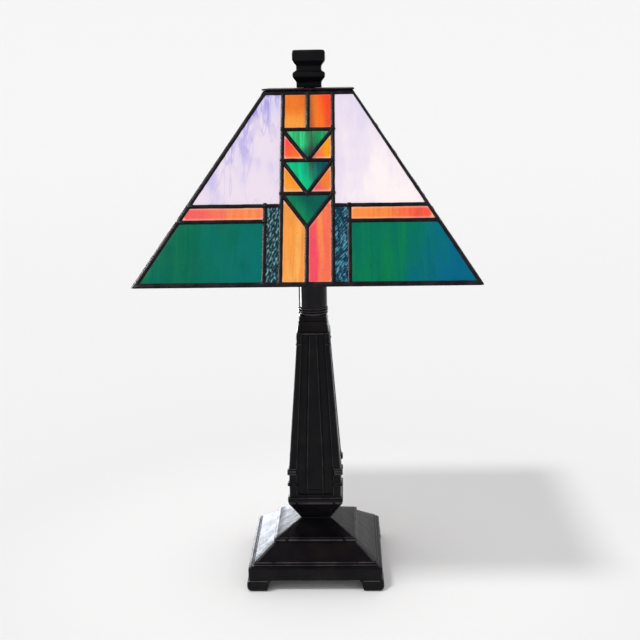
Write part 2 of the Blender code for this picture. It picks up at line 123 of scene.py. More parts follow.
def loft(loops, closed=False, capFirst=False, capLast=False):  # skin between loops of equal length
    bm = bmesh.new()
    rows = [[bm.verts.new(point) for point in loop] for loop in loops]
    pairs = list(zip(rows, rows[1:]))
    if closed:
        pairs.append((rows[-1], rows[0]))
    for low, high in pairs:
        for index in range(len(low)):
            after = (index + 1) % len(low)
            bm.faces.new((low[index], low[after], high[after], high[index]))
    if capFirst:
        bm.faces.new(list(reversed(rows[0])))
    if capLast:
        bm.faces.new(rows[-1])
    bmesh.ops.remove_doubles(bm, verts=bm.verts, dist=0.002 * mm)
    bmesh.ops.recalc_face_normals(bm, faces=bm.faces)
    return bm


def roundCorner(half, radius, steps):  # a quarter turn round one corner of a square
    flat = half - radius
    turns = [math.pi / 2 * step / steps for step in range(steps + 1)]
    return [(flat + radius * math.sin(turn), -flat - radius * math.cos(turn)) for turn in turns]


def fourSides(side, height):  # one side's points, repeated round a square, anticlockwise
    loop = []
    for quarter in range(4):
        turned = Matrix.Rotation(quarter * math.pi / 2, 3, "Z")
        loop += [turned @ Vector((x, y, height)) for x, y in side]
    return loop


def squareLoop(half, height, radius, spots=()):  # a square with round corners
    side = [(spot * (half - radius), -half) for spot in spots]
    return fourSides(side + roundCorner(half, radius, 4), height)


def turnedLoops(profile, steps, middle=(0.0, 0.0)):  # (radius, height) rows
    loops = []
    for radius, height in profile:
        turns = [math.tau * step / steps for step in range(steps)]
        loops.append([
            Vector((middle[0] + radius * math.cos(turn), middle[1] + radius * math.sin(turn), height))
            for turn in turns
        ])
    return loops


def rounded(profile, radius, steps=3):  # rounds every corner of an open (across, height) outline
    result = [profile[0]]
    for before, corner, after in zip(profile, profile[1:], profile[2:]):
        here = Vector(corner)
        toBefore = Vector(before) - here
        toAfter = Vector(after) - here
        reach = min(radius, toBefore.length * 0.45, toAfter.length * 0.45)
        start = here + toBefore.normalized() * reach
        end = here + toAfter.normalized() * reach
        for step in range(steps + 1):
            amount = step / steps
            point = start.lerp(here, amount).lerp(here.lerp(end, amount), amount)
            result.append((point.x, point.y))
    result.append(profile[-1])
    return result


def inMm(rows):
    return [tuple(value * mm for value in row) for row in rows]


def lathe(rows, steps, middle=(0.0, 0.0), **caps):  # (radius, height) rows in millimetres, turned about Z
    return loft(turnedLoops(inMm(rows), steps, middle), **caps)


def plateRows(node, under, over):  # (past the edge, up from the underside or the top, corner radius)
    low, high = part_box(node)
    rows = [(high.x + out * mm, low.z + up * mm, radius * mm) for out, up, radius in under]
    return rows + [(high.x + out * mm, high.z + up * mm, radius * mm) for out, up, radius in over]


def useTree(obj, tree, **values):  # runs a geometry tree on an object and keeps its result
    modifier = obj.modifiers.new(tree.name, "NODES")
    modifier.node_group = tree
    for item in tree.interface.items_tree:
        if item.item_type == "SOCKET" and item.in_out == "INPUT" and item.name in values:
            modifier[item.identifier] = values[item.name]
    return settle(obj)


class Tree:  # one geometry tree
    def __init__(self, name, **inputs):
        self.group = bpy.data.node_groups.new(name, "GeometryNodeTree")
        face = self.group.interface
        face.new_socket("Geometry", in_out="INPUT", socket_type="NodeSocketGeometry")
        for key, (kind, value) in inputs.items():
            socket = face.new_socket(key, in_out="INPUT", socket_type=kind)
            if value is not None:
                socket.default_value = value
        face.new_socket("Geometry", in_out="OUTPUT", socket_type="NodeSocketGeometry")
        self.inputs = self.group.nodes.new("NodeGroupInput")
        self.output = self.group.nodes.new("NodeGroupOutput")

    def given(self, name):
        return self.inputs.outputs[name]

    def node(self, kind, settings=None, sockets=None, out=0):
        made = self.group.nodes.new(kind)
        for key, value in (settings or {}).items():
            setattr(made, key, value)
        for key, value in (sockets or {}).items():
            for item in (value if isinstance(value, list) else [value]):
                if isinstance(item, bpy.types.NodeSocket):
                    self.group.links.new(item, made.inputs[key])
                else:
                    made.inputs[key].default_value = item
        return made.outputs[out]

    def finish(self, geometry):
        whole = self.node("GeometryNodeRealizeInstances", {}, {0: geometry})
        dressed = self.node("GeometryNodeSetMaterial", {}, {0: whole, "Material": self.given("Finish")})
        self.group.links.new(dressed, self.output.inputs[0])
        return self.group


class Flow:  # a node's output that adds, subtracts and multiplies like a number
    def __init__(self, paint, socket):
        self.paint = paint
        self.socket = socket

    def sum(self, kind, first, second):
        return self.paint.node("ShaderNodeMath", {"operation": kind}, {0: first, 1: second})

    def __add__(self, other):
        return self.sum("ADD", self, other)

    def __radd__(self, other):
        return self.sum("ADD", other, self)

    def __sub__(self, other):
        return self.sum("SUBTRACT", self, other)

    def __rsub__(self, other):
        return self.sum("SUBTRACT", other, self)

    def __mul__(self, other):
        return self.sum("MULTIPLY", self, other)

    def __rmul__(self, other):
        return self.sum("MULTIPLY", other, self)


class Paint:  # one material's nodes
    def __init__(self, name):
        self.material = bpy.data.materials.new(name)
        self.material.use_nodes = True
        self.tree = self.material.node_tree
        self.shader = self.tree.nodes["Principled BSDF"]

    def put(self, target, value):
        if isinstance(value, Flow):
            self.tree.links.new(value.socket, target)
        else:
            target.default_value = value

    def node(self, kind, settings=None, sockets=None, out=0):
        made = self.tree.nodes.new(kind)
        for key, value in (settings or {}).items():
            if key == "stops":
                ramp = made.color_ramp
                while len(ramp.elements) < len(value):
                    ramp.elements.new(0.5)
                for element, (position, colour) in zip(ramp.elements, value):
                    element.position = position
                    element.color = colour
            else:
                setattr(made, key, value)
        for key, value in (sockets or {}).items():
            self.put(made.inputs[key], value)
        return Flow(self, made.outputs[out])

    def blend(self, amount, first, second, mode="MIX"):
        settings = {"data_type": "RGBA", "blend_type": mode}
        return self.node("ShaderNodeMix", settings, {0: amount, 6: first, 7: second}, out=2)

    def attribute(self, name, out=2):  # out 0 is colour, 2 is a number
        return self.node("ShaderNodeAttribute", {"attribute_name": name}, out=out)

    def range(self, value, low, high, toLow=0.0, toHigh=1.0):
        settings = {"interpolation_type": "SMOOTHSTEP", "clamp": True}
        return self.node("ShaderNodeMapRange", settings, {0: value, 1: low, 2: high, 3: toLow, 4: toHigh})

    def noiseAt(self, where, scale, detail=3.0, rough=0.5, distort=0.0, out=0):
        sockets = {"Vector": where, "Scale": scale, "Detail": detail, "Roughness": rough}
        sockets["Distortion"] = distort
        return self.node("ShaderNodeTexNoise", {}, sockets, out=out)

    def objectPlace(self):
        return self.node("ShaderNodeTexCoord", {}, {}, out=3)

    def stretched(self, where, scale, turn=(0.0, 0.0, 0.0), shift=(0.0, 0.0, 0.0)):
        return self.node("ShaderNodeMapping", {}, {0: where, 1: shift, 2: turn, 3: scale})

    def bump(self, height, strength, distance):
        return self.node("ShaderNodeBump", {}, {"Height": height, "Strength": strength, "Distance": distance})

    def set(self, **values):
        names = {
            "colour": "Base Color", "rough": "Roughness", "metal": "Metallic", "normal": "Normal",
            "glow": "Emission Color", "glowStrength": "Emission Strength", "specular": "Specular IOR Level",
        }
        for key, value in values.items():
            self.put(self.shader.inputs[names[key]], value)
        return self.material


view = {
    "place": (29.9 * mm, -867.7 * mm, 418.8 * mm),
    "pitchDown": 12.9,
    "yaw": -1.6,
    "roll": -0.9,
    "lens": 59.47,
    "sensor": 36.0,
    "nearest": 0.01,
}


def makeCamera():
    pitch, yaw, roll = (math.radians(view[key]) for key in ("pitchDown", "yaw", "roll"))
    forward = Vector((math.sin(yaw) * math.cos(pitch), math.cos(yaw) * math.cos(pitch), -math.sin(pitch)))
    right = Vector((math.cos(yaw), -math.sin(yaw), 0.0))
    up = right.cross(forward)
    across = math.cos(roll) * right + math.sin(roll) * up
    above = -math.sin(roll) * right + math.cos(roll) * up
    data = bpy.data.cameras.new("camera")
    data.lens = view["lens"]
    data.sensor_width = view["sensor"]
    data.clip_start = view["nearest"]
    camera = bpy.data.objects.new("camera", data)
    turn = Matrix((across, above, -forward)).transposed().to_4x4()
    camera.matrix_world = Matrix.Translation(view["place"]) @ turn
    bpy.context.scene.collection.objects.link(camera)
    bpy.context.scene.camera = camera


lights = {
    # place, aimed at, width, height, power, colour: these only show as reflections
    "sideStrip": ((-0.675, 0.285, 0.115), (0.0, 0.0, 0.20), 0.17, 0.22, 5.5, (1.0, 1.0, 1.0)),
    "ridgeStrip": ((-0.96, 0.17, 0.80), (-0.09, -0.09, 0.34), 0.45, 0.45, 40.0, (1.0, 1.0, 1.0)),
    "backStrip": ((-0.52, 1.50, 0.22), (0.0, 0.0, 0.06), 0.50, 0.34, 6.3, (0.86, 0.91, 1.0)),
}
sun = {"from": (-0.157, -0.128, 0.340), "strength": 1.15, "spread": 9.5}
stage = {
    "reach": 9.0,
    "wallAt": 5.5,
    "bend": 3.0,
    "wallTop": 7.0,
    "world": 0.75,
    # near: the floor's tone close to the lamp, painted brighter to lift the lamp's shade there
    "near": 0.95,
    "floor": 0.832,
    "wall": 0.92,
    "curveSteps": 24,
    "paintedLightPool": (0.10, 0.36),  # where the floor turns from its painted brighter near tone to its own
    "gap": 0.1 * mm,
}


def makeLights():
    for name, (where, aim, width, height, power, colour) in lights.items():
        data = bpy.data.lights.new(name, "AREA")
        data.shape = "RECTANGLE"
        data.size = width
        data.size_y = height
        data.energy = power
        data.color = colour
        light = bpy.data.objects.new(name, data)
        light.location = where
        light.rotation_euler = (Vector(aim) - Vector(where)).to_track_quat("-Z", "Y").to_euler()
        light.visible_camera = False
        light.visible_diffuse = False
        bpy.context.scene.collection.objects.link(light)
    data = bpy.data.lights.new("key", "SUN")
    data.energy = sun["strength"]
    data.angle = math.radians(sun["spread"])
    key = bpy.data.objects.new("key", data)
    key.rotation_euler = (-Vector(sun["from"])).to_track_quat("-Z", "Y").to_euler()
    bpy.context.scene.collection.objects.link(key)
    world = bpy.data.worlds.new("studio")
    world.use_nodes = True
    level = stage["world"]
    world.node_tree.nodes["Background"].inputs["Color"].default_value = (level, level, level, 1.0)
    bpy.context.scene.world = world


def makeStage():
    bm = bmesh.new()
    reach, wall, bend, top = stage["reach"], stage["wallAt"], stage["bend"], stage["wallTop"]
    outline = [(-reach, 0.0), (wall - bend, 0.0)]
    for step in range(1, stage["curveSteps"] + 1):
        turn = math.pi / 2 * step / stage["curveSteps"]
        outline.append((wall - bend + bend * math.sin(turn), bend - bend * math.cos(turn)))
    outline.append((wall, top))
    rows = [[bm.verts.new((x, y, z)) for x in (-reach, reach)] for y, z in outline]
    for near, far in zip(rows, rows[1:]):
        bm.faces.new((near[0], near[1], far[1], far[0]))
    paint = Paint("paleFloor")
    height = paint.node("ShaderNodeSeparateXYZ", {}, {0: paint.objectPlace()}, out=2)
    spread = paint.noiseAt(paint.objectPlace(), 2.0)
    tone = paint.range(height, 0.0, stage["bend"]) + spread * 0.01
    away = paint.node("ShaderNodeVectorMath", {"operation": "LENGTH"}, {0: paint.objectPlace()}, out=1)
    near, floor, back = stage["near"], stage["floor"], stage["wall"]
    # painted light: close to the lamp the floor is painted brighter, lifting the shade the lamp casts round
    # its foot
    paintedLightPool = paint.range(away, *stage["paintedLightPool"])
    colour = paint.blend(paintedLightPool, (near, near, near, 1.0), (floor, floor, floor, 1.0))
    paint.set(colour=paint.blend(tone, colour, (back, back, back, 1.0)), rough=0.9, specular=0.0)
    floorPiece = place("floor", meshFrom(bm, "floor"), paint.material)
    floorPiece.data.shade_smooth()
    floorPiece.location.z = -stage["gap"]


makeCamera()
makeLights()
makeStage()
bpy.context.scene.view_settings.view_transform = "Standard"
print("camera, lights and floor made")


leadingLow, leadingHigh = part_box("front_leading")
shade = {
    "tilt": math.radians(34.1),
    "half": -leadingLow.y,
    "bottom": leadingLow.z,
    "top": leadingHigh.z,
    "centreLine": 19.1 * mm,
    "rippleLine": 31.1 * mm,
    "barTop": 65.8 * mm,
    "barBottom": 53.0 * mm,
    "rows": (130.6 * mm, 103.8 * mm, 75.8 * mm, 48.2 * mm),
    "bottomLead": 2.0 * mm,  # middle of the lowest lead, up the slope
    "topLead": 1.6 * mm,
    "ridgeLead": 0.5 * mm,
    "ridgeBack": 3.5 * mm,
    "glassInset": 0.7 * mm,
    "glassThick": 3.0 * mm,
    "glassFront": -0.9 * mm,
    "grid": 3.0 * mm,
    "wave": 0.10 * mm,
    "softEdge": 1.2 * mm,
    "edgeDrop": 0.35 * mm,
    "glintWide": 0.9 * mm,
    "crestScale": 0.3 * mm,
}
panelSlope = math.sin(shade["tilt"])
panelRise = math.cos(shade["tilt"])
panelHeight = (shade["top"] - shade["bottom"]) / panelRise
ridgeCos = math.cos(math.atan(panelSlope))  # turns a distance across into one square to the ridge


def panelHalf(height):
    return shade["half"] - panelSlope * height


def panelPlace(quarter):  # panel frame: x across, y up the slope, z outwards
    lean = Matrix.Rotation(math.pi / 2 - shade["tilt"], 4, "X")
    front = Matrix.Translation((0.0, -shade["half"], shade["bottom"])) @ lean
    return Matrix.Rotation(quarter * math.pi / 2, 4, "Z") @ front


def glassCells():  # outlines between the middles of the leads, anticlockwise
    centre, ripple = shade["centreLine"], shade["rippleLine"]
    barTop, barBottom = shade["barTop"], shade["barBottom"]
    rowA, rowB, rowC, rowD = shade["rows"]
    low = shade["bottomLead"]
    high = panelHeight - shade["topLead"]

    def ridge(height):
        return panelHalf(height) - shade["ridgeLead"] / ridgeCos

    right = {
        "lavender": [(centre, barTop), (ridge(barTop), barTop), (ridge(high), high), (centre, high)],
        "bar": [
            (ripple, barBottom), (ridge(barBottom), barBottom), (ridge(barTop), barTop), (ripple, barTop),
        ],
        "green": [(ripple, low), (ridge(low), low), (ridge(barBottom), barBottom), (ripple, barBottom)],
        "ripple": [(centre, low), (ripple, low), (ripple, barTop), (centre, barTop)],
        "top": [(0.0, rowA), (centre, rowA), (centre, high), (0.0, high)],
        "upperSide": [(0.0, rowB), (centre, rowB), (centre, rowA)],
        "lowerSide": [(0.0, rowC), (centre, rowC), (centre, rowB)],
        "foot": [(0.0, low), (centre, low), (centre, rowC), (0.0, rowD)],
    }
    cells = {}
    for name, outline in right.items():
        cells[name + "Right"] = outline
        cells[name + "Left"] = [(-x, y) for x, y in reversed(outline)]
    triangles = (("triangleA", rowA, rowB), ("triangleB", rowB, rowC), ("triangleC", rowC, rowD))
    for name, wide, point in triangles:
        cells[name] = [(0.0, point), (centre, wide), (-centre, wide)]
    return cells


def crossings(lines):  # where each line meets the one before it
    corners = []
    for (before, beforeAlong), (after, afterAlong) in zip(lines[-1:] + lines[:-1], lines):
        across = beforeAlong.cross(afterAlong)
        if abs(across) < 1e-6:
            corners.append(after)
        else:
            corners.append(before + beforeAlong * ((after - before).cross(afterAlong) / across))
    return corners


def inset(outline, distance):
    lines = []
    for start, end in zip(outline, outline[1:] + outline[:1]):
        along = (Vector(end) - Vector(start)).normalized()
        inward = Vector((-along.y, along.x))
        lines.append((Vector(start) + inward * distance, along))
    return crossings(lines)


def edgeDistance(point, outline):
    best = 1.0
    for start, end in zip(outline, outline[1:] + outline[:1]):
        along = (end - start).normalized()
        best = min(best, Vector((-along.y, along.x)).dot(point - start))
    return best


tints = {
    # main, streak, drift, where the drift gathers (x, y), strength of the painted highlight along the edges
    "lavenderLeft": ((236, 222, 236), (168, 158, 226), (212, 204, 240), (-0.35, 0.65), 0.1),
    "lavenderRight": ((253, 241, 243), (236, 224, 240), (228, 218, 238), (-0.6, 0.45), 0.1),
    "barLeft": ((252, 146, 86), (252, 124, 80), (248, 100, 96), (-1.0, 0.0), 0.9),
    "barRight": ((255, 146, 68), (255, 126, 70), (252, 90, 70), (1.0, 0.0), 0.9),
    "greenLeft": ((0, 104, 80), (12, 114, 78), (0, 112, 104), (0.5, -0.1), 0.0),
    "greenRight": ((0, 112, 88), (8, 126, 76), (0, 102, 132), (0.9, -0.2), 0.0),
    # for ripple glass the streak colour is the painted highlight on the ripples' crests
    "rippleLeft": ((14, 36, 46), (112, 160, 168), (18, 60, 66), (0.0, -1.0), 0.0),
    "rippleRight": ((10, 44, 62), (76, 146, 172), (12, 60, 82), (0.0, -0.6), 0.0),
    "topLeft": ((241, 124, 44), (228, 104, 30), (250, 158, 66), (0.25, -1.0), 0.5),
    "topRight": ((250, 118, 38), (252, 142, 44), (250, 74, 40), (0.6, 0.25), 0.5),
    "upperSideLeft": ((253, 104, 42), (255, 128, 50), (255, 78, 72), (-0.7, 0.7), 1.0),
    "upperSideRight": ((254, 170, 22), (250, 146, 20), (255, 118, 72), (-1.0, -0.5), 1.0),
    "lowerSideLeft": ((255, 142, 14), (250, 120, 8), (255, 166, 70), (-0.2, -0.5), 1.0),
    "lowerSideRight": ((244, 118, 50), (251, 142, 48), (244, 94, 100), (-0.8, -0.7), 1.0),
    "footLeft": ((253, 178, 92), (242, 146, 62), (250, 158, 70), (-0.7, 0.7), 0.7),
    "footRight": ((250, 108, 86), (252, 148, 76), (246, 80, 98), (-0.9, -0.1), 0.7),
    "triangleA": ((60, 216, 136), (28, 146, 84), (12, 104, 86), (0.4, -0.9), 0.35),
    "triangleB": ((8, 214, 146), (24, 188, 128), (10, 78, 90), (0.95, 0.1), 0.25),
    "triangleC": ((10, 126, 84), (18, 140, 90), (8, 92, 80), (0.8, 0.5), 0.15),
}


def makeGlassPiece(bm, outline, tint, seed, layers, relief):
    # a slab with a gently waving face, cut on a grid so that its surface can move
    first = len(bm.faces)
    front = shade["glassFront"]
    face = bm.faces.new([bm.verts.new((point.x, point.y, front)) for point in outline])
    lowX, highX = min(point.x for point in outline), max(point.x for point in outline)
    lowY, highY = min(point.y for point in outline), max(point.y for point in outline)
    own = [face, *face.edges, *face.verts]
    for axis, low, high, step in ((0, lowX, highX, relief["across"]), (1, lowY, highY, relief["up"])):
        count = max(1, round((high - low) / step))
        for index in range(1, count):
            at = Vector((0.0, 0.0, front))
            at[axis] = low + (high - low) * index / count
            normal = Vector((0.0, 0.0, 0.0))
            normal[axis] = 1.0
            bmesh.ops.bisect_plane(bm, geom=own, plane_co=at, plane_no=normal, dist=1e-7)
            bm.faces.ensure_lookup_table()
            faces = bm.faces[first:]
            own = list({*faces, *(e for f in faces for e in f.edges), *(v for f in faces for v in f.verts)})
    faces = list(bm.faces)[first:]
    back = bmesh.ops.extrude_face_region(bm, geom=faces, use_keep_orig=True)
    backVerts = {item for item in back["geom"] if isinstance(item, bmesh.types.BMVert)}
    for vert in backVerts:  # the back is narrower where two panels meet
        vert.co.z = front - shade["glassThick"]
        limit = panelHalf(vert.co.y) - shade["ridgeBack"] / ridgeCos
        vert.co.x = max(-limit, min(limit, vert.co.x))
    middle = Vector(((lowX + highX) / 2, (lowY + highY) / 2))
    reach = Vector(((highX - lowX) / 2, (highY - lowY) / 2))
    *colours, gather, glintStrength = tint
    glintWide = shade["glintWide"]
    for vert in {vert for item in list(bm.faces)[first:] for vert in item.verts}:
        flat = Vector((vert.co.x, vert.co.y))
        edge = edgeDistance(flat, outline)
        wave = relief["height"](flat, seed)
        held = min(1.0, max(0.0, edge / shade["softEdge"]))
        rise = wave * held - shade["edgeDrop"] * (1.0 - held) ** 2
        vert.co.z += -rise if vert in backVerts else rise
        # painted highlight: a pale line along the piece's edge, where the glass's edge would catch the light
        vert[layers["rim"]] = (1.0 - min(1.0, max(0.0, edge - glintWide) / glintWide)) * glintStrength
        vert[layers["crest"]] = wave / shade["crestScale"]
        spot = ((flat.x - middle.x) / reach.x, (flat.y - middle.y) / reach.y, seed)
        vert[layers["spot"]] = spot
        drift = max(-1.0, min(1.0, spot[0] * gather[0] + spot[1] * gather[1]))
        vert[layers["gather"]] = 0.5 + 0.5 * drift
        for key, colour in zip(("main", "streak", "drift"), colours):
            vert[layers[key]] = fromScreen(*colour)
    for item in list(bm.faces)[first:]:
        item.smooth = True


def rolled(point, seed):  # the soft wave of rolled glass
    wave = noise.noise(Vector((point.x * 55.0, point.y * 28.0, seed * 7.0)))
    fine = noise.noise(Vector((point.x * 160.0, point.y * 70.0, seed * 3.0 + 40.0)))
    return shade["wave"] * (wave + 0.35 * fine)


def rippled(point, seed):  # ripple glass: slanting, broken ridges
    lean = 1.0 if point.x > 0.0 else 0.55
    slant = point.x * 0.80 - point.y * 0.60 * lean
    bend = noise.noise(Vector((point.x * 300.0, point.y * 300.0, seed)))
    ridge = math.sin((slant + bend * mm) / (1.7 * mm) * math.tau)
    wander = noise.noise(Vector((point.x * 620.0, point.y * 330.0, seed + 9.0)))
    return 0.09 * mm * ridge + 0.30 * mm * wander


plainRelief = {"across": shade["grid"], "up": shade["grid"] * 1.3, "height": rolled}
rippleRelief = {"across": 0.45 * mm, "up": 0.45 * mm, "height": rippled}


def glassFrame(paint):  # across and up the panel in metres, and each piece's own number
    panel = paint.node("ShaderNodeUVMap", {"uv_map": "panel"})
    parts = paint.node("ShaderNodeSeparateXYZ", {}, {0: panel})
    up = Flow(paint, parts.socket.node.outputs[1])
    seed = paint.node("ShaderNodeSeparateXYZ", {}, {0: paint.attribute("spot", 1)}, out=2)
    lean = paint.node("ShaderNodeCombineXYZ", {}, {0: parts * 26.0, 1: up * 11.0, 2: seed})
    sway = paint.noiseAt(lean, 1.0, 2.0) - 0.5
    return parts + sway * 0.010, up, seed


def along(paint, across, up, seed, wide, long, shift=0.0):  # a place stretched along the glass's grain
    sockets = {0: across * (1.0 / wide), 1: up * (1.0 / long), 2: seed * 3.7 + shift}
    return paint.node("ShaderNodeCombineXYZ", {}, sockets)


def streakyColour(paint):
    across, up, seed = glassFrame(paint)
    bands = paint.noiseAt(along(paint, across, up, seed, 7.0 * mm, 90.0 * mm), 1.0, 4.0, 0.55)
    threads = paint.noiseAt(along(paint, across, up, seed, 1.5 * mm, 50.0 * mm, 2.0), 1.0, 3.0, 0.6, 0.4)
    dark = paint.noiseAt(along(paint, across, up, seed, 11.0 * mm, 30.0 * mm, 8.0), 1.0, 3.0)
    cloud = paint.noiseAt(along(paint, across, up, seed, 24.0 * mm, 60.0 * mm, 5.0), 1.0, 3.0)
    gathered = paint.range(paint.attribute("gather") + cloud * 0.7 + threads * 0.3, 0.82, 1.32)
    colour = paint.blend(paint.range(bands * 0.7 + threads * 0.3, 0.40, 0.66), paint.attribute("main", 0),
                         paint.attribute("streak", 0))
    colour = paint.blend(gathered, colour, paint.attribute("drift", 0))
    deeper = paint.blend(1.0, colour, (0.60, 0.62, 0.66, 1.0), "MULTIPLY")
    mottled = paint.range(paint.noiseAt(paint.objectPlace(), 620.0, 3.0, 0.65), 0.46, 0.74) * 0.30
    return paint.blend(paint.range(dark * 0.6 + threads * 0.4, 0.48, 0.74) * 0.6 + mottled, colour, deeper)


def wispyColour(paint):
    across, up, seed = glassFrame(paint)
    cloud = paint.noiseAt(along(paint, across, up, seed, 22.0 * mm, 45.0 * mm, 5.0), 1.0, 3.0)
    gather = paint.attribute("gather")
    base = paint.blend(paint.range(cloud + gather * 0.5, 0.55, 1.0), paint.attribute("main", 0),
                       paint.attribute("drift", 0))
    drips = paint.noiseAt(along(paint, across, up, seed, 5.0 * mm, 26.0 * mm), 1.0, 3.0, 0.5, 0.5)
    drips = paint.range(drips, 0.46, 0.58)
    thread = paint.noiseAt(along(paint, across, up, seed, 9.0 * mm, 60.0 * mm, 7.0), 1.0, 1.0)
    gap = paint.node("ShaderNodeMath", {"operation": "ABSOLUTE"}, {0: thread - 0.5})
    line = paint.range(gap, 0.0, 0.014, 1.0, 0.0)
    where = paint.range(gather * 0.7 + cloud * 0.7, 0.48, 0.92)
    return paint.blend(drips * where + line * (where * 0.5 + 0.25), base, paint.attribute("streak", 0))


def rippleColour(paint):
    across, up, seed = glassFrame(paint)
    fine = paint.noiseAt(along(paint, across, up, seed, 0.8 * mm, 1.4 * mm), 1.0, 2.0)
    # painted highlight: the ripples' crests are coloured lighter, where they would catch the light
    light = paint.range(paint.attribute("crest") + fine * 0.8, 0.35, 1.10)
    cloud = paint.noiseAt(along(paint, across, up, seed, 10.0 * mm, 16.0 * mm, 5.0), 1.0, 2.0)
    base = paint.blend(cloud, paint.attribute("main", 0), paint.attribute("drift", 0))
    return paint.blend(light, base, paint.attribute("streak", 0))


def makeGlassMaterials():
    made = {}
    kinds = (("streakyGlass", streakyColour), ("wispyGlass", wispyColour), ("rippleGlass", rippleColour))
    for name, colourOf in kinds:
        paint = Paint(name)
        colour = colourOf(paint)
        # painted highlight: the pieces' edges are paled where the rim layer asks for it
        glintColour = paint.blend(0.5, colour, (1.0, 0.90, 0.72, 1.0))
        colour = paint.blend(paint.range(paint.attribute("rim"), 0.15, 0.95) * 0.8, colour, glintColour)
        lit = paint.blend(paint.attribute("shadow"), colour, (0.040, 0.022, 0.030, 1.0))
        grain = paint.noiseAt(paint.objectPlace(), 900.0, 2.0)
        rough = paint.range(paint.noiseAt(paint.objectPlace(), 60.0, 3.0), 0.3, 0.7, 0.14, 0.26)
        # painted light: the glass glows on its own, standing in for the light let through it
        body = paint.blend(0.52, lit, (0.0, 0.0, 0.0, 1.0))
        made[name] = paint.set(
            colour=body, glow=lit, glowStrength=0.52, rough=rough, specular=0.06,
            normal=paint.bump(grain, 0.05, 0.0004),
        )
    return made


glassMaterials = makeGlassMaterials()
glassNodes = {
    # CAD node ending: (pieces it stands for, material)
    "lavender_glass_left": (("lavenderLeft",), "wispyGlass"),
    "lavender_glass_right": (("lavenderRight",), "wispyGlass"),
    "coral_bar_left": (("barLeft",), "streakyGlass"),
    "coral_bar_right": (("barRight",), "streakyGlass"),
    "green_glass_left": (("greenLeft",), "streakyGlass"),
    "green_glass_right": (("greenRight",), "streakyGlass"),
    "ripple_glass_left": (("rippleLeft",), "rippleGlass"),
    "ripple_glass_right": (("rippleRight",), "rippleGlass"),
    "centre_glass": (
        (
            "topLeft", "topRight", "triangleA", "upperSideLeft", "upperSideRight", "triangleB",
            "lowerSideLeft", "lowerSideRight", "triangleC", "footLeft", "footRight",
        ),
        "streakyGlass",
    ),
}


def pipeShadow(x, y):  # the centre pipe stands between the lamp and the front panel
    fade = max(0.0, min(1.0, (y - 72.0 * mm) / (34.0 * mm)))
    middle = 2.4 * mm + (117.0 * mm - y) * 0.04
    return 0.78 * fade * math.exp(-((x - middle) / (2.7 * mm)) ** 2)


def makeGlass():
    cells = glassCells()
    for quarter, side in enumerate(sides):
        for ending, (names, materialName) in glassNodes.items():
            bm = bmesh.new()
            made = bm.verts.layers
            layers = {key: made.float_color.new(key) for key in ("main", "streak", "drift")}
            layers |= {key: made.float.new(key) for key in ("rim", "gather", "crest", "shadow")}
            layers["spot"] = made.float_vector.new("spot")
            uv = bm.loops.layers.uv.new("panel")
            relief = rippleRelief if materialName == "rippleGlass" else plainRelief
            for number, name in enumerate(names):
                outline = inset(cells[name], shade["glassInset"])
                seed = 1.3 + quarter * 4.1 + number * 1.7 + len(name) * 0.37
                makeGlassPiece(bm, outline, tints[name], seed, layers, relief)
            bmesh.ops.remove_doubles(bm, verts=bm.verts, dist=samePlace)
            bmesh.ops.recalc_face_normals(bm, faces=bm.faces)
            for face in bm.faces:
                for loop in face.loops:
                    loop[uv].uv = (loop.vert.co.x, loop.vert.co.y)
            if side == "front":
                for vert in bm.verts:
                    vert[layers["shadow"]] = pipeShadow(vert.co.x, vert.co.y)
            bm.transform(panelPlace(quarter))
            node = f"{side}_{ending}"
            piece = place(node + "_cut", meshFrom(bm, node), glassMaterials[materialName])
            piece.data.set_sharp_from_angle(angle=math.radians(50.0))
            slotName = ending.replace("_left", "").replace("_right", "")
            finished(piece, "shade", slotName, node)


makeGlass()
print("glass cut and laid")


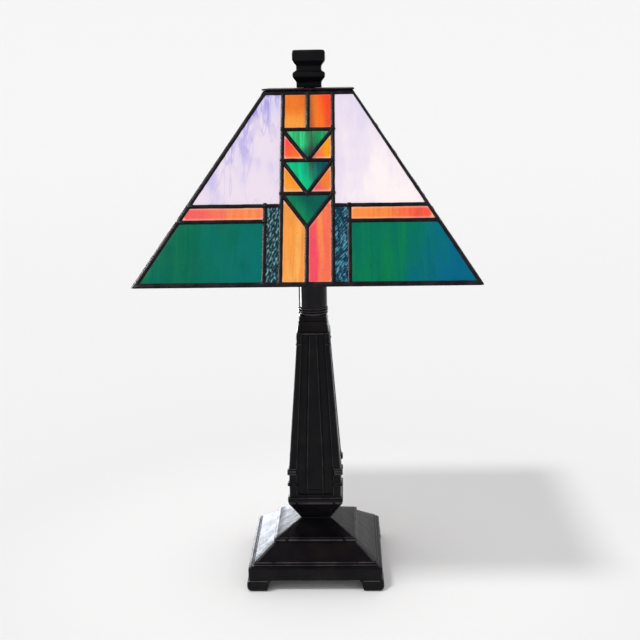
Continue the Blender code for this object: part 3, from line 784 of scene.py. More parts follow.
def plainFinishes():
    made = {}

    paint = Paint("blackCast")  # black paint over a cast surface
    where = paint.objectPlace()
    broad = paint.noiseAt(where, 55.0, 3.0)
    grain = paint.noiseAt(where, 900.0, 3.0, 0.6)
    dents = paint.noiseAt(where, 170.0, 3.0, 0.55)
    colour = paint.blend(
        paint.range(broad, 0.35, 0.7), (0.0040, 0.0036, 0.0056, 1.0), (0.0085, 0.0072, 0.0074, 1.0),
    )
    # the narrow edge faces are painted lighter: partly wear, partly a painted highlight where the edges catch
    # the light
    edgeWearAndSheen = paint.attribute("edge") * paint.range(broad, 0.36, 0.62, 0.35, 0.85)
    colour = paint.blend(edgeWearAndSheen, colour, (0.070, 0.067, 0.075, 1.0))
    rough = paint.range(broad * 0.6 + dents * 0.4, 0.3, 0.7, 0.15, 0.28)
    height = grain * 0.12 + dents * 0.60 + broad * 1.0
    made["black_cast"] = paint.set(
        colour=colour, rough=rough, specular=0.09, normal=paint.bump(height, 0.40, 0.0006),
    )

    paint = Paint("blackEnamel")  # the smoother paint of the turned stem
    where = paint.objectPlace()
    broad = paint.noiseAt(paint.stretched(where, (1.0, 1.0, 0.25)), 150.0, 3.0)
    colour = paint.blend(
        paint.range(broad, 0.35, 0.7), (0.0045, 0.0042, 0.0070, 1.0), (0.0100, 0.0098, 0.0125, 1.0),
    )
    # the narrow edge faces are painted lighter: partly wear, partly a painted highlight where the edges catch
    # the light
    colour = paint.blend(paint.attribute("edge") * 0.5, colour, (0.085, 0.080, 0.090, 1.0))
    made["black_enamel"] = paint.set(
        colour=colour, rough=paint.range(broad, 0.3, 0.7, 0.06, 0.10), specular=0.13,
        normal=paint.bump(broad, 0.03, 0.0005),
    )

    paint = Paint("darkSolder")
    where = paint.objectPlace()
    patches = paint.noiseAt(where, 130.0, 4.0, 0.6)
    fine = paint.noiseAt(where, 700.0, 2.0)
    colour = paint.blend(
        paint.range(patches, 0.35, 0.72), (0.005, 0.0042, 0.0060, 1.0), (0.016, 0.012, 0.016, 1.0),
    )
    rough = paint.range(patches, 0.3, 0.7, 0.24, 0.40)
    made["leading"] = paint.set(
        colour=colour, rough=rough, specular=0.09,
        normal=paint.bump(patches * 0.8 + fine * 0.3, 0.45, 0.0005),
    )

    for key, name, tone, tint, low, high in (
        ("steel", "platedSteel", (0.50, 0.50, 0.49), (0.38, 0.37, 0.35), 0.24, 0.42),
        ("brass", "brass", (0.70, 0.49, 0.19), (0.48, 0.31, 0.11), 0.22, 0.40),
        ("nickel", "nickelPlate", (0.66, 0.64, 0.60), (0.52, 0.50, 0.46), 0.16, 0.34),
    ):
        paint = Paint(name)
        where = paint.objectPlace()
        stains = paint.noiseAt(where, 160.0, 4.0, 0.6)
        brushed = paint.noiseAt(paint.stretched(where, (90.0, 90.0, 2600.0)), 1.0, 2.0)
        colour = paint.blend(paint.range(stains, 0.4, 0.75), (*tone, 1.0), (*tint, 1.0))
        made[key] = paint.set(
            colour=colour, metal=1.0, rough=paint.range(stains, 0.3, 0.75, low, high),
            normal=paint.bump(brushed, 0.12, 0.0002),
        )

    paint = Paint("blackPhenolic")
    where = paint.objectPlace()
    cloud = paint.noiseAt(where, 220.0, 3.0)
    colour = paint.blend(cloud, (0.010, 0.009, 0.009, 1.0), (0.022, 0.018, 0.016, 1.0))
    made["black_plastic"] = paint.set(
        colour=colour, rough=paint.range(cloud, 0.3, 0.7, 0.32, 0.50),
        normal=paint.bump(paint.noiseAt(where, 1500.0, 2.0), 0.10, 0.0002),
    )

    paint = Paint("castIron")
    where = paint.objectPlace()
    rust = paint.noiseAt(where, 90.0, 4.0, 0.62)
    pits = paint.noiseAt(where, 700.0, 3.0, 0.6)
    colour = paint.blend(
        paint.range(rust, 0.45, 0.75), (0.060, 0.058, 0.056, 1.0), (0.115, 0.060, 0.034, 1.0),
    )
    made["iron"] = paint.set(colour=colour, rough=0.82, metal=0.35, normal=paint.bump(pits, 0.6, 0.0006))

    paint = Paint("greenFelt")
    where = paint.objectPlace()
    fuzz = paint.noiseAt(where, 1300.0, 4.0, 0.7)
    pills = paint.noiseAt(where, 240.0, 3.0, 0.6)
    colour = paint.blend(fuzz * 0.6 + pills * 0.4, (0.010, 0.036, 0.022, 1.0), (0.035, 0.090, 0.055, 1.0))
    made["felt"] = paint.set(
        colour=colour, rough=0.96, specular=0.15, normal=paint.bump(fuzz + pills, 0.7, 0.0007),
    )

    paint = Paint("opalGlass")
    where = paint.objectPlace()
    cloud = paint.noiseAt(where, 45.0, 3.0)
    colour = paint.blend(cloud, (0.90, 0.88, 0.82, 1.0), (0.94, 0.93, 0.90, 1.0))
    made["opal_glass"] = paint.set(
        colour=colour, glow=paint.blend(cloud, (1.0, 0.86, 0.66, 1.0), (1.0, 0.91, 0.76, 1.0)),
        glowStrength=0.9, rough=paint.range(cloud, 0.3, 0.7, 0.14, 0.22),
    )
    return made


finishes = plainFinishes()


leading = {
    "halfWidth": 1.6 * mm,
    "leftRidge": (3.8 * mm, 3.6 * mm),  # width at the bottom and at the top
    "rightRidge": (2.8 * mm, 1.35 * mm),
    "ridgeBack": 4.8 * mm,
    "bottomWidth": 4.4 * mm,
    "topWidth": 3.3 * mm,
    "crest": 0.10 * mm,
    "lip": -1.25 * mm,
    "ridgeRound": 2.2 * mm,  # how far from the ridge its rounding starts
    "middle": -2.2 * mm,
    "step": 3.2 * mm,
    "uneven": 0.20 * mm,
    "rings": (0.0, 0.06, 0.13, 0.28, 0.60, 0.85, 0.95, 1.0),
    "backRings": (1.0, 0.85, 0.55, 0.20, 0.0),
    "web": 0.40,
    "jointSize": 1.9 * mm,
    "jointFlat": 0.32,
    "jointSink": 0.30 * mm,
    "edgeRound": 1.2 * mm,
    "edgeDrop": 0.45 * mm,
    "ridgeDrop": 0.36,
    "still": 2.0 * mm,  # nearer an outer edge than this the solder runs straight
}


def leadCells():  # the glass outlines, with their outer edges carried out to the panel's own edge
    low = shade["bottomLead"]
    high = panelHeight - shade["topLead"]
    cells = {}
    for name, outline in glassCells().items():
        moved = []
        for x, y in outline:
            atRidge = abs(abs(x) - (panelHalf(y) - shade["ridgeLead"] / ridgeCos)) < samePlace
            if abs(y - low) < samePlace:
                y = 0.0
            if abs(y - high) < samePlace:
                y = panelHeight
            if atRidge:
                x = math.copysign(panelHalf(y), x)
            moved.append(Vector((x, y)))
        cells[name] = moved
    return cells


def ridgeWidth(point):
    low, high = leading["leftRidge"] if point.x < 0.0 else leading["rightRidge"]
    return low + (high - low) * point.y / panelHeight


def leadWidths(start, end, back=False):  # how far the lead reaches in from each end of one edge
    if abs(start.y) < 1e-6 and abs(end.y) < 1e-6:
        return leading["bottomWidth"], leading["bottomWidth"]
    if abs(start.y - panelHeight) < 1e-6 and abs(end.y - panelHeight) < 1e-6:
        return leading["topWidth"], leading["topWidth"]
    if abs(abs(start.x) - panelHalf(start.y)) < 1e-6 and abs(abs(end.x) - panelHalf(end.y)) < 1e-6:
        if back:
            return leading["ridgeBack"], leading["ridgeBack"]
        return ridgeWidth(start), ridgeWidth(end)
    return leading["halfWidth"], leading["halfWidth"]


def insetEach(outline, distances):  # an inset with its own pair of distances for each edge
    lines = []
    for index, (atStart, atEnd) in enumerate(distances):
        start, end = outline[index], outline[(index + 1) % len(outline)]
        inward = (end - start).normalized()
        inward = Vector((-inward.y, inward.x))
        start = start + inward * atStart
        lines.append((start, (end + inward * atEnd - start).normalized()))
    return crossings(lines)


def leadSplits(outline, corners):  # where other pieces' corners fall on each edge, and steps between
    result = []
    for index, start in enumerate(outline):
        end = outline[(index + 1) % len(outline)]
        length = (end - start).length
        along = (end - start) / length
        marks = {0.0, 1.0}
        for corner in corners:
            reach = (corner - start).dot(along)
            if abs((corner - start).cross(along)) < samePlace and 0.1 * mm < reach < length - 0.1 * mm:
                marks.add(round(reach / length, 6))
        marks = sorted(marks)
        spots = []
        for low, high in zip(marks, marks[1:]):
            count = max(1, round((high - low) * length / leading["step"]))
            spots += [low + (high - low) * step / count for step in range(count)]
        result.append(spots)
    return result


def leadPoint(flat, fraction, width, back=False):  # one point of the solder's surface
    toWindow = (1.0 - fraction) * width
    rise = 1.0 - min(1.0, toWindow / leading["halfWidth"])
    crown = math.sqrt(max(0.0, 1.0 - rise * rise))
    toBottom, toTop = flat.y, panelHeight - flat.y
    toRidge = max(0.0, (panelHalf(flat.y) - abs(flat.x)) * ridgeCos)
    edge = 1.0 - min(1.0, min(toBottom, toTop) / leading["edgeRound"])
    wrap = math.sqrt(max(0.0, 1.0 - edge * edge))
    height = leading["lip"] + (leading["crest"] - leading["lip"]) * crown
    height -= leading["edgeDrop"] * (1.0 - wrap)
    bend = leading["ridgeRound"]
    height -= leading["ridgeDrop"] * bend * max(0.0, 1.0 - toRidge / bend) ** 2
    wobble = noise.noise_vector(Vector((flat.x * 190.0, flat.y * 190.0, 3.0)))
    coarse = noise.noise(Vector((flat.x * 75.0, flat.y * 75.0, 11.0)))
    inner = min(1.0, min(toBottom, toTop, toRidge) / leading["still"])
    height += leading["uneven"] * (0.6 * wobble.z + 0.5 * coarse) * crown
    if back:
        height = 2.0 * leading["middle"] - height
    x, y = flat.x, flat.y
    x += leading["uneven"] * wobble.x * inner
    y += leading["uneven"] * wobble.y * inner
    level = math.tan(shade["tilt"])
    y -= height * level * max(0.0, 1.0 - toBottom / leading["bottomWidth"])
    y -= height * level * max(0.0, 1.0 - toTop / leading["topWidth"])
    ridge = leading["ridgeBack"] if back else bend
    x += math.copysign(1.0, x) * height * panelRise * max(0.0, 1.0 - toRidge / ridge)
    return Vector((x, y, height))


def leadingMesh():
    cells = leadCells()
    corners = [corner for outline in cells.values() for corner in outline]
    bm = bmesh.new()
    for outline in cells.values():
        splits = leadSplits(outline, corners)
        edges = list(zip(outline, outline[1:] + outline[:1]))
        webBack = 2.0 * leading["middle"] - leading["lip"]
        rings = [(fraction, None, False) for fraction in leading["rings"]]
        rings += [(leading["web"], leading["lip"], False), (leading["web"], webBack, True)]
        rings += [(fraction, None, True) for fraction in leading["backRings"]]
        rows = []
        for fraction, fixed, back in rings:
            widths = [leadWidths(start, end, back) for start, end in edges]
            ring = insetEach(outline, [(fraction * first, fraction * last) for first, last in widths])
            row = []
            for index, spots in enumerate(splits):
                start, end = ring[index], ring[(index + 1) % len(ring)]
                first, last = widths[index]
                for spot in spots:
                    wide = first + (last - first) * spot
                    if spot == 0.0:
                        wide = max(first, widths[index - 1][1])
                    point = leadPoint(start.lerp(end, spot), fraction, wide, back)
                    if fixed is not None:
                        point.z = fixed
                    row.append(bm.verts.new(point))
            rows.append(row)
        for outer, inner in zip(rows, rows[1:]):
            for index in range(len(outer)):
                after = (index + 1) % len(outer)
                bm.faces.new((outer[index], outer[after], inner[after], inner[index]))
    bmesh.ops.remove_doubles(bm, verts=bm.verts, dist=samePlace)
    border = [edge for edge in bm.edges if edge.is_boundary]
    bmesh.ops.bridge_loops(bm, edges=border)
    bmesh.ops.recalc_face_normals(bm, faces=bm.faces)
    return bm


def jointTree():  # a flattened drop of solder on every point
    tree = Tree(
        "solderJoints",
        Size=("NodeSocketFloat", 2.0 * mm),
        Flatness=("NodeSocketFloat", 0.3),
        Seed=("NodeSocketInt", 7),
        Finish=("NodeSocketMaterial", None),
    )
    drop = tree.node("GeometryNodeMeshIcoSphere", {}, {"Radius": tree.given("Size"), "Subdivisions": 3})
    flat = tree.node("ShaderNodeCombineXYZ", {}, {0: 1.0, 1: 1.0, 2: tree.given("Flatness")})
    drop = tree.node("GeometryNodeTransform", {}, {"Geometry": drop, "Scale": flat})
    grow = tree.node(
        "FunctionNodeRandomValue", {"data_type": "FLOAT_VECTOR"},
        {"Min": (0.75, 0.75, 0.8), "Max": (1.15, 1.15, 1.2), "Seed": tree.given("Seed")},
    )
    dots = tree.node("GeometryNodeMeshToPoints", {}, {"Mesh": tree.given("Geometry")})
    drops = tree.node("GeometryNodeInstanceOnPoints", {}, {"Points": dots, "Instance": drop, "Scale": grow})
    whole = tree.node("GeometryNodeRealizeInstances", {}, {0: drops})
    where = tree.node("GeometryNodeInputPosition", {}, {})
    rough = tree.node("ShaderNodeTexNoise", {}, {"Vector": where, "Scale": 420.0, "Detail": 2.0}, out=1)
    centred = tree.node("ShaderNodeVectorMath", {"operation": "SUBTRACT"}, {0: rough, 1: (0.5, 0.5, 0.5)})
    push = tree.node("ShaderNodeVectorMath", {"operation": "SCALE"}, {0: centred, "Scale": 0.7 * mm})
    uneven = tree.node("GeometryNodeSetPosition", {}, {"Geometry": whole, "Offset": push})
    soft = tree.node("GeometryNodeSetShadeSmooth", {}, {"Geometry": uneven})
    return tree.finish(soft)


def makeLeading():
    joints = bmesh.new()
    seen = set()
    still = leading["still"]
    for outline in leadCells().values():
        for corner in outline:
            key = (round(corner.x, 5), round(corner.y, 5))
            inside = still < corner.y < panelHeight - still
            if key not in seen and inside and abs(corner.x) < panelHalf(corner.y) - still:
                seen.add(key)
                joints.verts.new((corner.x, corner.y, leading["crest"] - leading["jointSink"]))
    dots = place("jointDots", meshFrom(joints, "jointDots"))
    dots = useTree(
        dots, jointTree(), Size=leading["jointSize"], Flatness=leading["jointFlat"], Seed=7,
        Finish=finishes["leading"],
    )
    panel = leadingMesh()
    panel.from_mesh(dots.data)
    bpy.data.objects.remove(dots)
    for quarter, side in enumerate(sides):
        bm = panel.copy()
        bm.transform(panelPlace(quarter))
        piece = place(f"{side}_solder", meshFrom(bm, f"{side}_solder"), finishes["leading"])
        piece.data.shade_smooth()
        piece.data.set_sharp_from_angle(angle=math.radians(75.0))
        finished(piece, "shade", "leading", f"{side}_leading")
    panel.free()

cap = {
    "bore": 5.5,
    "under": ((-1.2, 0.0, 2.0), (-0.2, -0.1, 2.4), (0.4, 0.25, 2.6), (0.4, 0.75, 2.6)),
    "over": ((-0.2, -0.05, 2.4), (-1.4, 0.0, 2.0), (-2.6, -0.25, 2.0), (-4.0, -0.05, 2.0)),
    "dome": 0.62,
    "domeCorner": 3.0 * mm,
    "spots": (-0.9, -0.6, -0.3, 0.0, 0.3, 0.6, 0.9),
}


def makeCap():
    low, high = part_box("shade_cap")
    bore = cap["bore"] * mm
    rows = [(bore, low.z, bore), *plateRows("shade_cap", cap["under"], cap["over"])]
    rows += [(high.x * cap["dome"], high.z, cap["domeCorner"]), (bore, high.z, bore)]
    bm = loft([squareLoop(*row, cap["spots"]) for row in rows], closed=True)
    build("shade_cap_plate", bm, "leading", 40.0, "shade", "leading", "shade_cap")


makeLeading()
makeCap()
print("leading soldered")


finial = {
    "corner": 1.3 * mm,
    "rounding": 0.6 * mm,
    "bore": 5.3 * mm,
    "roof": 427.0 * mm,  # top of the threaded hole
    "spots": (-0.6, 0.0, 0.6),
    "outline": (  # (half width, height), from the bottom up
        (9.7, 411.4), (9.9, 412.0), (9.9, 415.6), (10.5, 416.7), (12.2, 418.8), (12.8, 419.8), (12.8, 422.6),
        (12.2, 423.4), (10.3, 424.6), (9.9, 425.4), (9.9, 427.8), (10.4, 428.9), (12.5, 431.7), (12.9, 432.5),
        (12.9, 438.8), (12.5, 440.0), (11.5, 440.5), (7.0, 440.7),
    ),
}


def makeFinial():
    outline = rounded(inMm(finial["outline"]), finial["rounding"], 2)
    bore = finial["bore"]
    rows = [(bore, finial["roof"], bore), (bore, outline[0][1], bore)]
    rows += [(half, height, finial["corner"]) for half, height in outline]
    bm = loft([squareLoop(*row, finial["spots"]) for row in rows], capFirst=True, capLast=True)
    build("finial_block", bm, "black_cast", 32.0, "finial", "black_cast", "finial")


makeFinial()


base = {
    "footTop": 9.7,
    # across the foot's inner side: (distance from the middle, height of the lower edge)
    "gapEdge": (
        (37.2, 9.7), (38.0, 9.35), (38.5, 8.2), (39.2, 5.6), (39.9, 3.2), (40.6, 1.6), (41.6, 0.6),
        (43.2, 0.0),
    ),
    "footSide": (  # (height, half width)
        (0.0, 54.8), (0.25, 55.8), (0.8, 56.5), (1.8, 57.1), (3.4, 57.45), (5.4, 57.5), (7.6, 57.3),
        (8.8, 56.9),
        (9.4, 56.4), (9.7, 56.0),
    ),
    "upper": (  # (half width, height, corner radius), from the top down
        (9.0, 65.1, 4.0), (22.2, 65.1, 1.0), (22.8, 64.9, 1.0), (23.0, 64.4, 1.0), (22.8, 63.7, 1.0),
        (20.6, 60.2, 1.0), (17.6, 55.3, 1.0), (14.8, 50.6, 1.0), (13.5, 48.3, 1.0), (13.1, 47.5, 1.0),
        (13.2, 47.0, 1.0), (13.9, 46.7, 1.0), (20.5, 43.7, 1.1), (27.0, 40.7, 1.2), (32.6, 38.1, 1.2),
        (33.3, 37.95, 1.2), (33.7, 37.75, 1.2), (34.2, 37.3, 1.3), (35.0, 37.05, 1.4), (35.5, 36.5, 1.5),
        (35.6, 35.8, 1.5), (35.3, 35.0, 1.5), (35.1, 34.5, 1.5), (35.6, 34.1, 1.5), (36.4, 33.6, 1.6),
        (43.0, 28.9, 1.8), (49.9, 24.0, 2.0), (50.6, 23.7, 2.0), (51.1, 23.4, 2.0), (51.2, 22.9, 2.0),
        (51.1, 22.5, 2.0), (51.8, 22.4, 2.1), (52.6, 22.1, 2.2), (52.9, 21.6, 2.2), (52.7, 21.1, 2.2),
        (52.9, 20.7, 2.2), (53.8, 20.6, 2.3), (55.0, 20.2, 2.5), (55.9, 19.5, 2.6), (56.2, 18.5, 2.7),
        (56.2, 14.0, 2.7), (56.2, 10.9, 2.7), (55.9, 10.3, 2.7),
    ),
    "inner": ((34.0, 12.0, 0.5), (34.0, 29.0, 0.5), (10.0, 41.0, 2.0)),
    "bore": 5.3,
    "boreEnds": (41.0, 65.1),
    "widest": 57.5,
    "corner": 2.7,
    "innerWall": 39.2,
    "hollow": 12.0,
    "inlet": ((3.0, -62.0), (3.0, -36.0)),
    "inletHeight": 14.2,
}


def makeBase():
    edge, corner, side = base["gapEdge"], base["corner"], base["footSide"]
    reference = base["widest"] - corner
    spots = [x / reference for x, _ in edge]
    spots = [-spot for spot in reversed(spots)] + [-0.35, 0.0, 0.35] + spots
    lows = [z for _, z in reversed(edge)] + [base["footTop"]] * 3 + [z for _, z in edge] + [0.0] * 5
    lows = lows * 4

    def sideHalf(height):
        for (low, lowHalf), (high, highHalf) in zip(side, side[1:]):
            if height <= high:
                return lowHalf + (highHalf - lowHalf) * (height - low) / (high - low)
        return side[-1][1]

    def ring(half, height, radius):
        return squareLoop(half * mm, height * mm, radius * mm, spots)

    def footRing(level):  # one level of the feet, lifted to the lower edge between them
        heights = [max(level, low) for low in lows]
        return [ring(sideHalf(height), height, corner)[index] for index, height in enumerate(heights)]

    loops = [ring(base["bore"], height, base["bore"]) for height in base["boreEnds"]]
    loops += [ring(*row) for row in base["upper"]]
    loops += [footRing(level) for level, _ in reversed(side)]
    limit = base["innerWall"] * mm
    inner = []
    for point, low in zip(footRing(0.0), lows):
        inner.append(Vector((max(-limit, min(limit, point.x)), max(-limit, min(limit, point.y)), low * mm)))
    loops += [inner, [Vector((point.x, point.y, base["hollow"] * mm)) for point in inner]]
    loops += [ring(*row) for row in base["inner"]]
    piece = place("base_shell", meshFrom(loft(loops, closed=True), "base_shell"), finishes["black_cast"])
    hole = place("inletHole", meshFrom(lathe(base["inlet"], 20, capFirst=True, capLast=True), "inletHole"))
    lift = Matrix.Translation((0.0, 0.0, base["inletHeight"] * mm))
    hole.data.transform(lift @ Matrix.Rotation(math.pi / 2, 4, "X"))
    cutter = piece.modifiers.new("inlet", "BOOLEAN")
    cutter.object = hole
    cutter.solver = "EXACT"
    settle(piece)
    bpy.data.objects.remove(hole)
    finished(markEdges(smooth(piece, 32.0)), "stand", "black_cast", "base_casting")


makeBase()


column = {
    "corner": 0.9 * mm,
    "sunk": 1.4,
    "postShare": 0.31,
    "taper": ((96.0, 22.0), (214.0, 13.2)),
    "ribWide": (6.8, 2.8),
    "soft": 0.35 * mm,
    "fullDepth": 1.2 * mm,
    "bore": 6.5 * mm,
    "foot": (  # (height, half width), from the bottom up
        (65.4, 23.0), (65.6, 23.4), (66.0, 23.5), (67.3, 23.5), (67.6, 23.3), (67.9, 23.3), (68.2, 23.5),
        (69.3, 23.5), (69.8, 23.3), (70.1, 22.8), (70.4, 22.4), (71.0, 22.1), (72.0, 22.0),
    ),
    "ribStart": ((72.5, 0.1), (76.0, 0.1), (77.0, 1.0), (79.6, 1.0)),  # (height, how far the rib stands)
    "beads": ((80.0, 83.0), (90.0, 92.0), (92.2, 94.2)),
    "beadShape": ((0.0, 0.0), (0.06, 0.9), (0.22, 1.45), (0.55, 1.6), (0.82, 1.35), (0.95, 0.7), (1.0, 0.15)),
    "lowBand": ((94.6, 0.15), (94.8, 0.6), (95.5, 0.6), (95.9, 0.2), (96.3, 0.0)),  # (height, out)
    "fieldTop": 200.0,
    "fieldSteps": 11,
    "highBand": (
        (201.6, 0.0), (201.8, 0.45), (202.4, 0.7), (203.0, 0.5), (203.4, 0.2), (206.0, 0.2), (206.4, 0.5),
        (209.6, 0.5), (210.2, 0.6),
    ),
    "neck": (  # (height, half width)
        (210.7, 13.8), (211.3, 14.0), (211.9, 13.9), (212.3, 13.5), (214.0, 13.0), (217.5, 12.4),
        (219.6, 12.0),
        (220.2, 12.2), (221.2, 12.2), (221.8, 11.8), (224.8, 11.6), (225.6, 11.5), (226.0, 11.1),
    ),
}


def columnSection(height, post, floor, rib, corner):
    low, high = column["taper"]
    share = max(0.0, min(1.0, (height / mm - low[0]) / (high[0] - low[0])))
    ribHalf = (column["ribWide"][0] + (column["ribWide"][1] - column["ribWide"][0]) * share) * mm
    edge = post - column["postShare"] * post
    soft = column["soft"]
    depth = min(1.0, (post - floor) / column["fullDepth"])
    half = [
        (ribHalf - soft, -rib),
        (ribHalf, -rib + soft * depth * 0.8),
        (ribHalf + 0.1 * mm, -floor + 0.45 * mm * depth),
        (ribHalf + 0.9 * mm, -floor + 0.40 * mm * depth),
        (ribHalf + 1.2 * mm, -floor),
        (edge - 0.9 * mm, -floor),
        (edge - 0.3 * mm, -floor + 0.25 * mm * depth),
        (edge, -floor + 0.20 * mm * depth),
        (edge + 0.1 * mm, -post + soft * depth),
        (edge + soft + 0.1 * mm, -post),
    ]
    side = [(-x, y) for x, y in reversed(half)] + half
    return fourSides(side + roundCorner(post, corner, 3), height)


def makeColumn():
    (lowAt, lowHalf), (highAt, highHalf) = column["taper"]
    rows = []

    def fielded(height, half, band=0.0, rib=1.0):
        floor = half - column["sunk"]
        rows.append((height, half + band, floor, floor + rib))

    def tapered(height):
        return lowHalf + (highHalf - lowHalf) * (height - lowAt) / (highAt - lowAt)

    rows += [(height, half, half, half) for height, half in column["foot"]]
    for height, rib in column["ribStart"]:
        fielded(height, lowHalf, rib=rib)
    for low, high in column["beads"]:
        for share, out in column["beadShape"]:
            fielded(low + (high - low) * share, lowHalf, out)
    for height, out in column["lowBand"]:
        fielded(height, lowHalf, out)
    top, steps = column["fieldTop"], column["fieldSteps"]
    for step in range(1, steps + 1):
        height = lowAt + (top - lowAt) * step / steps
        fielded(height, tapered(height))
    for height, out in column["highBand"]:
        fielded(height, tapered(height), out)
    rows += [(height, half, half, half) for height, half in column["neck"]]
    loops = [columnSection(*row, column["corner"]) for row in inMm(rows)]
    away = [Vector((point.x, point.y)).normalized() * column["bore"] for point in loops[0]]
    for height in (rows[-1][0], rows[0][0]):
        loops.append([Vector((point.x, point.y, height * mm)) for point in away])
    build(
        "column_shaft", loft(loops, closed=True), "black_cast", 30.0, "stand", "black_cast", "column_casting",
        wearAndSheen=True,
    )


makeColumn()
print("base, column and finial cast")


stem = {
    "radius": 11.9,
    "bottom": 232.3,
    "top": 281.0,
    "steps": 64,
    "collar": (  # (radius, height), from the bottom up
        (6.5, 226.3), (11.9, 226.3), (12.35, 226.6), (12.5, 227.2), (12.5, 227.7), (12.2, 228.1),
        (12.0, 228.5),
        (12.2, 228.9), (12.6, 229.2), (12.7, 229.5), (12.6, 229.8), (12.2, 230.1), (12.0, 230.5),
        (12.2, 230.9),
        (12.55, 231.2), (12.55, 231.6), (12.3, 231.9), (12.0, 232.0), (6.5, 232.0),
    ),
}


def makeStem():
    radius, low, high = stem["radius"], stem["bottom"], stem["top"]
    tube = [
        (radius - 1.1, high - 0.2), (radius - 0.9, high), (radius - 0.3, high), (radius, high - 0.4),
        (radius, high - 1.0), (radius, low + 0.9), (radius, low + 0.3), (radius - 0.2, low),
        (radius - 0.9, low),
        (radius - 1.1, low + 0.3),
    ]
    pieces = (("stem_ring", stem["collar"], "stem_collar"), ("stem_sleeve", tube, "stem_tube"))
    for name, rows, node in pieces:
        bm = lathe(rows, stem["steps"], closed=True)
        build(name, bm, "black_enamel", 35.0, "stand", "black_cast", node, wearAndSheen=True)


def threadTree():  # a helical thread laid on a rod that is handed in
    tree = Tree(
        "screwThread",
        Radius=("NodeSocketFloat", 5.0 * mm),
        Turns=("NodeSocketFloat", 10.0),
        Length=("NodeSocketFloat", 10.0 * mm),
        Depth=("NodeSocketFloat", 0.4 * mm),
        Start=("NodeSocketVector", (0.0, 0.0, 0.0)),
        Finish=("NodeSocketMaterial", None),
    )
    helix = tree.node("GeometryNodeCurveSpiral", {}, {
        "Resolution": 16,
        "Rotations": tree.given("Turns"),
        "Start Radius": tree.given("Radius"),
        "End Radius": tree.given("Radius"),
        "Height": tree.given("Length"),
    })
    helix = tree.node("GeometryNodeTransform", {}, {"Geometry": helix, "Translation": tree.given("Start")})
    sockets = {"Resolution": 4, "Radius": tree.given("Depth")}
    ridge = tree.node("GeometryNodeCurvePrimitiveCircle", {}, sockets)
    sockets = {"Curve": helix, "Profile Curve": ridge, "Fill Caps": True}
    thread = tree.node("GeometryNodeCurveToMesh", {}, sockets)
    both = tree.node("GeometryNodeJoinGeometry", {}, {0: [tree.given("Geometry"), thread]})
    return tree.finish(both)


pipe = {
    "radius": 5.0,
    "bore": 3.7,
    "bottom": 13.0,
    "top": 425.5,
    "threadFrom": 292.0 * mm,
    "threadLong": 111.0 * mm,
    "threadTurns": 110.0,
    "threadDepth": 0.32 * mm,
}


def makePipe():
    bore, radius, bottom, top = pipe["bore"], pipe["radius"], pipe["bottom"], pipe["top"]
    wall = radius - 0.15
    rows = [
        (bore, top - 0.4), (bore + 0.4, top), (radius - 0.6, top), (wall, top - 0.6), (wall, 288.6),
        (wall, 20.0),
        (wall, bottom + 0.6), (radius - 0.6, bottom), (bore + 0.4, bottom), (bore, bottom + 0.4),
    ]
    piece = place("threaded_pipe", meshFrom(lathe(rows, 32, closed=True), "threaded_pipe"))
    piece = useTree(
        piece, threadTree(), Radius=(radius - 0.2) * mm, Turns=pipe["threadTurns"], Length=pipe["threadLong"],
        Depth=pipe["threadDepth"], Start=(0.0, 0.0, pipe["threadFrom"]), Finish=finishes["steel"],
    )
    finished(smooth(piece, 40.0), "stand", "steel", "centre_pipe")


nut = {
    "across": 9.5 * mm,
    "bore": 5.3 * mm,
    "chamfer": 0.7 * mm,
    "boreChamfer": 0.5 * mm,
    "steps": 48,
}


def makeNut(name, node):
    low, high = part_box(node)
    bottom, top = low.z, high.z
    across, bore, chamfer, lip = nut["across"], nut["bore"], nut["chamfer"], nut["boreChamfer"]

    def ring(limit, height):
        points = []
        for step in range(nut["steps"]):
            turn = math.tau * step / nut["steps"]
            nearest = (turn + math.pi / 6) % (math.pi / 3) - math.pi / 6
            hexagon = across * math.cos(math.pi / 6) / math.cos(math.pi / 6 - abs(nearest))
            reach = min(limit, hexagon)
            points.append(Vector((reach * math.cos(turn), reach * math.sin(turn), height)))
        return points

    rows = (
        (bore + lip, bottom), (across * 0.88, bottom), (across * 0.96, bottom + chamfer * 0.5),
        (across, bottom + chamfer), (across, top - chamfer), (across * 0.96, top - chamfer * 0.5),
        (across * 0.88, top), (bore + lip, top), (bore, top - lip), (bore, bottom + lip),
    )
    build(name, loft([ring(*row) for row in rows], closed=True), "steel", 28.0, "stand", "steel", node)


makeStem()
makePipe()
makeNut("lower_nut", "base_nut")
makeNut("strap_nut", "bracket_nut")
makeNut("seat_nut", "shade_seat_nut")
print("stem, pipe and nuts turned")


lampY = 32.0
lampMiddle = (0.0, lampY * mm)
lampSteps = 48
screwPitch = 3.6


def rolledLoops(radius, low, high, depth, levels, ease):  # rings of a round thread that fades at its ends
    loops = []
    for level in range(levels + 1):
        share = level / levels
        height = low + (high - low) * share
        fade = min(1.0, share / ease, (1.0 - share) / ease)
        loop = []
        for step in range(lampSteps):
            turn = math.tau * step / lampSteps
            reach = radius + depth * fade * math.sin(math.tau * (height / screwPitch) - turn)
            x, y = reach * math.cos(turn), lampY + reach * math.sin(turn)
            loop.append(Vector((x * mm, y * mm, height * mm)))
        loops.append(loop)
    return loops


lampholder = {
    "rounding": 0.4 * mm,
    "body": (  # (radius, height)
        (0.4, 291.1), (14.3, 291.1), (14.3, 319.0), (16.0, 319.0), (17.0, 318.0), (17.0, 312.4),
        (16.6, 312.0),
        (16.6, 311.2), (17.0, 310.8), (17.0, 305.6), (16.6, 305.2), (16.6, 304.4), (17.0, 304.0),
        (17.0, 285.2),
        (15.0, 283.1), (4.9, 283.1), (4.9, 281.0), (7.0, 281.0), (7.0, 279.5), (0.4, 279.5),
    ),
    "shell": {"low": 291.6, "high": 318.3, "depth": 0.14, "levels": 40, "ease": 0.12},
    "shellInner": 13.5,
    "shellOuter": 13.9,
    "shellRim": ((13.95, 318.5), (13.5, 318.5)),
}


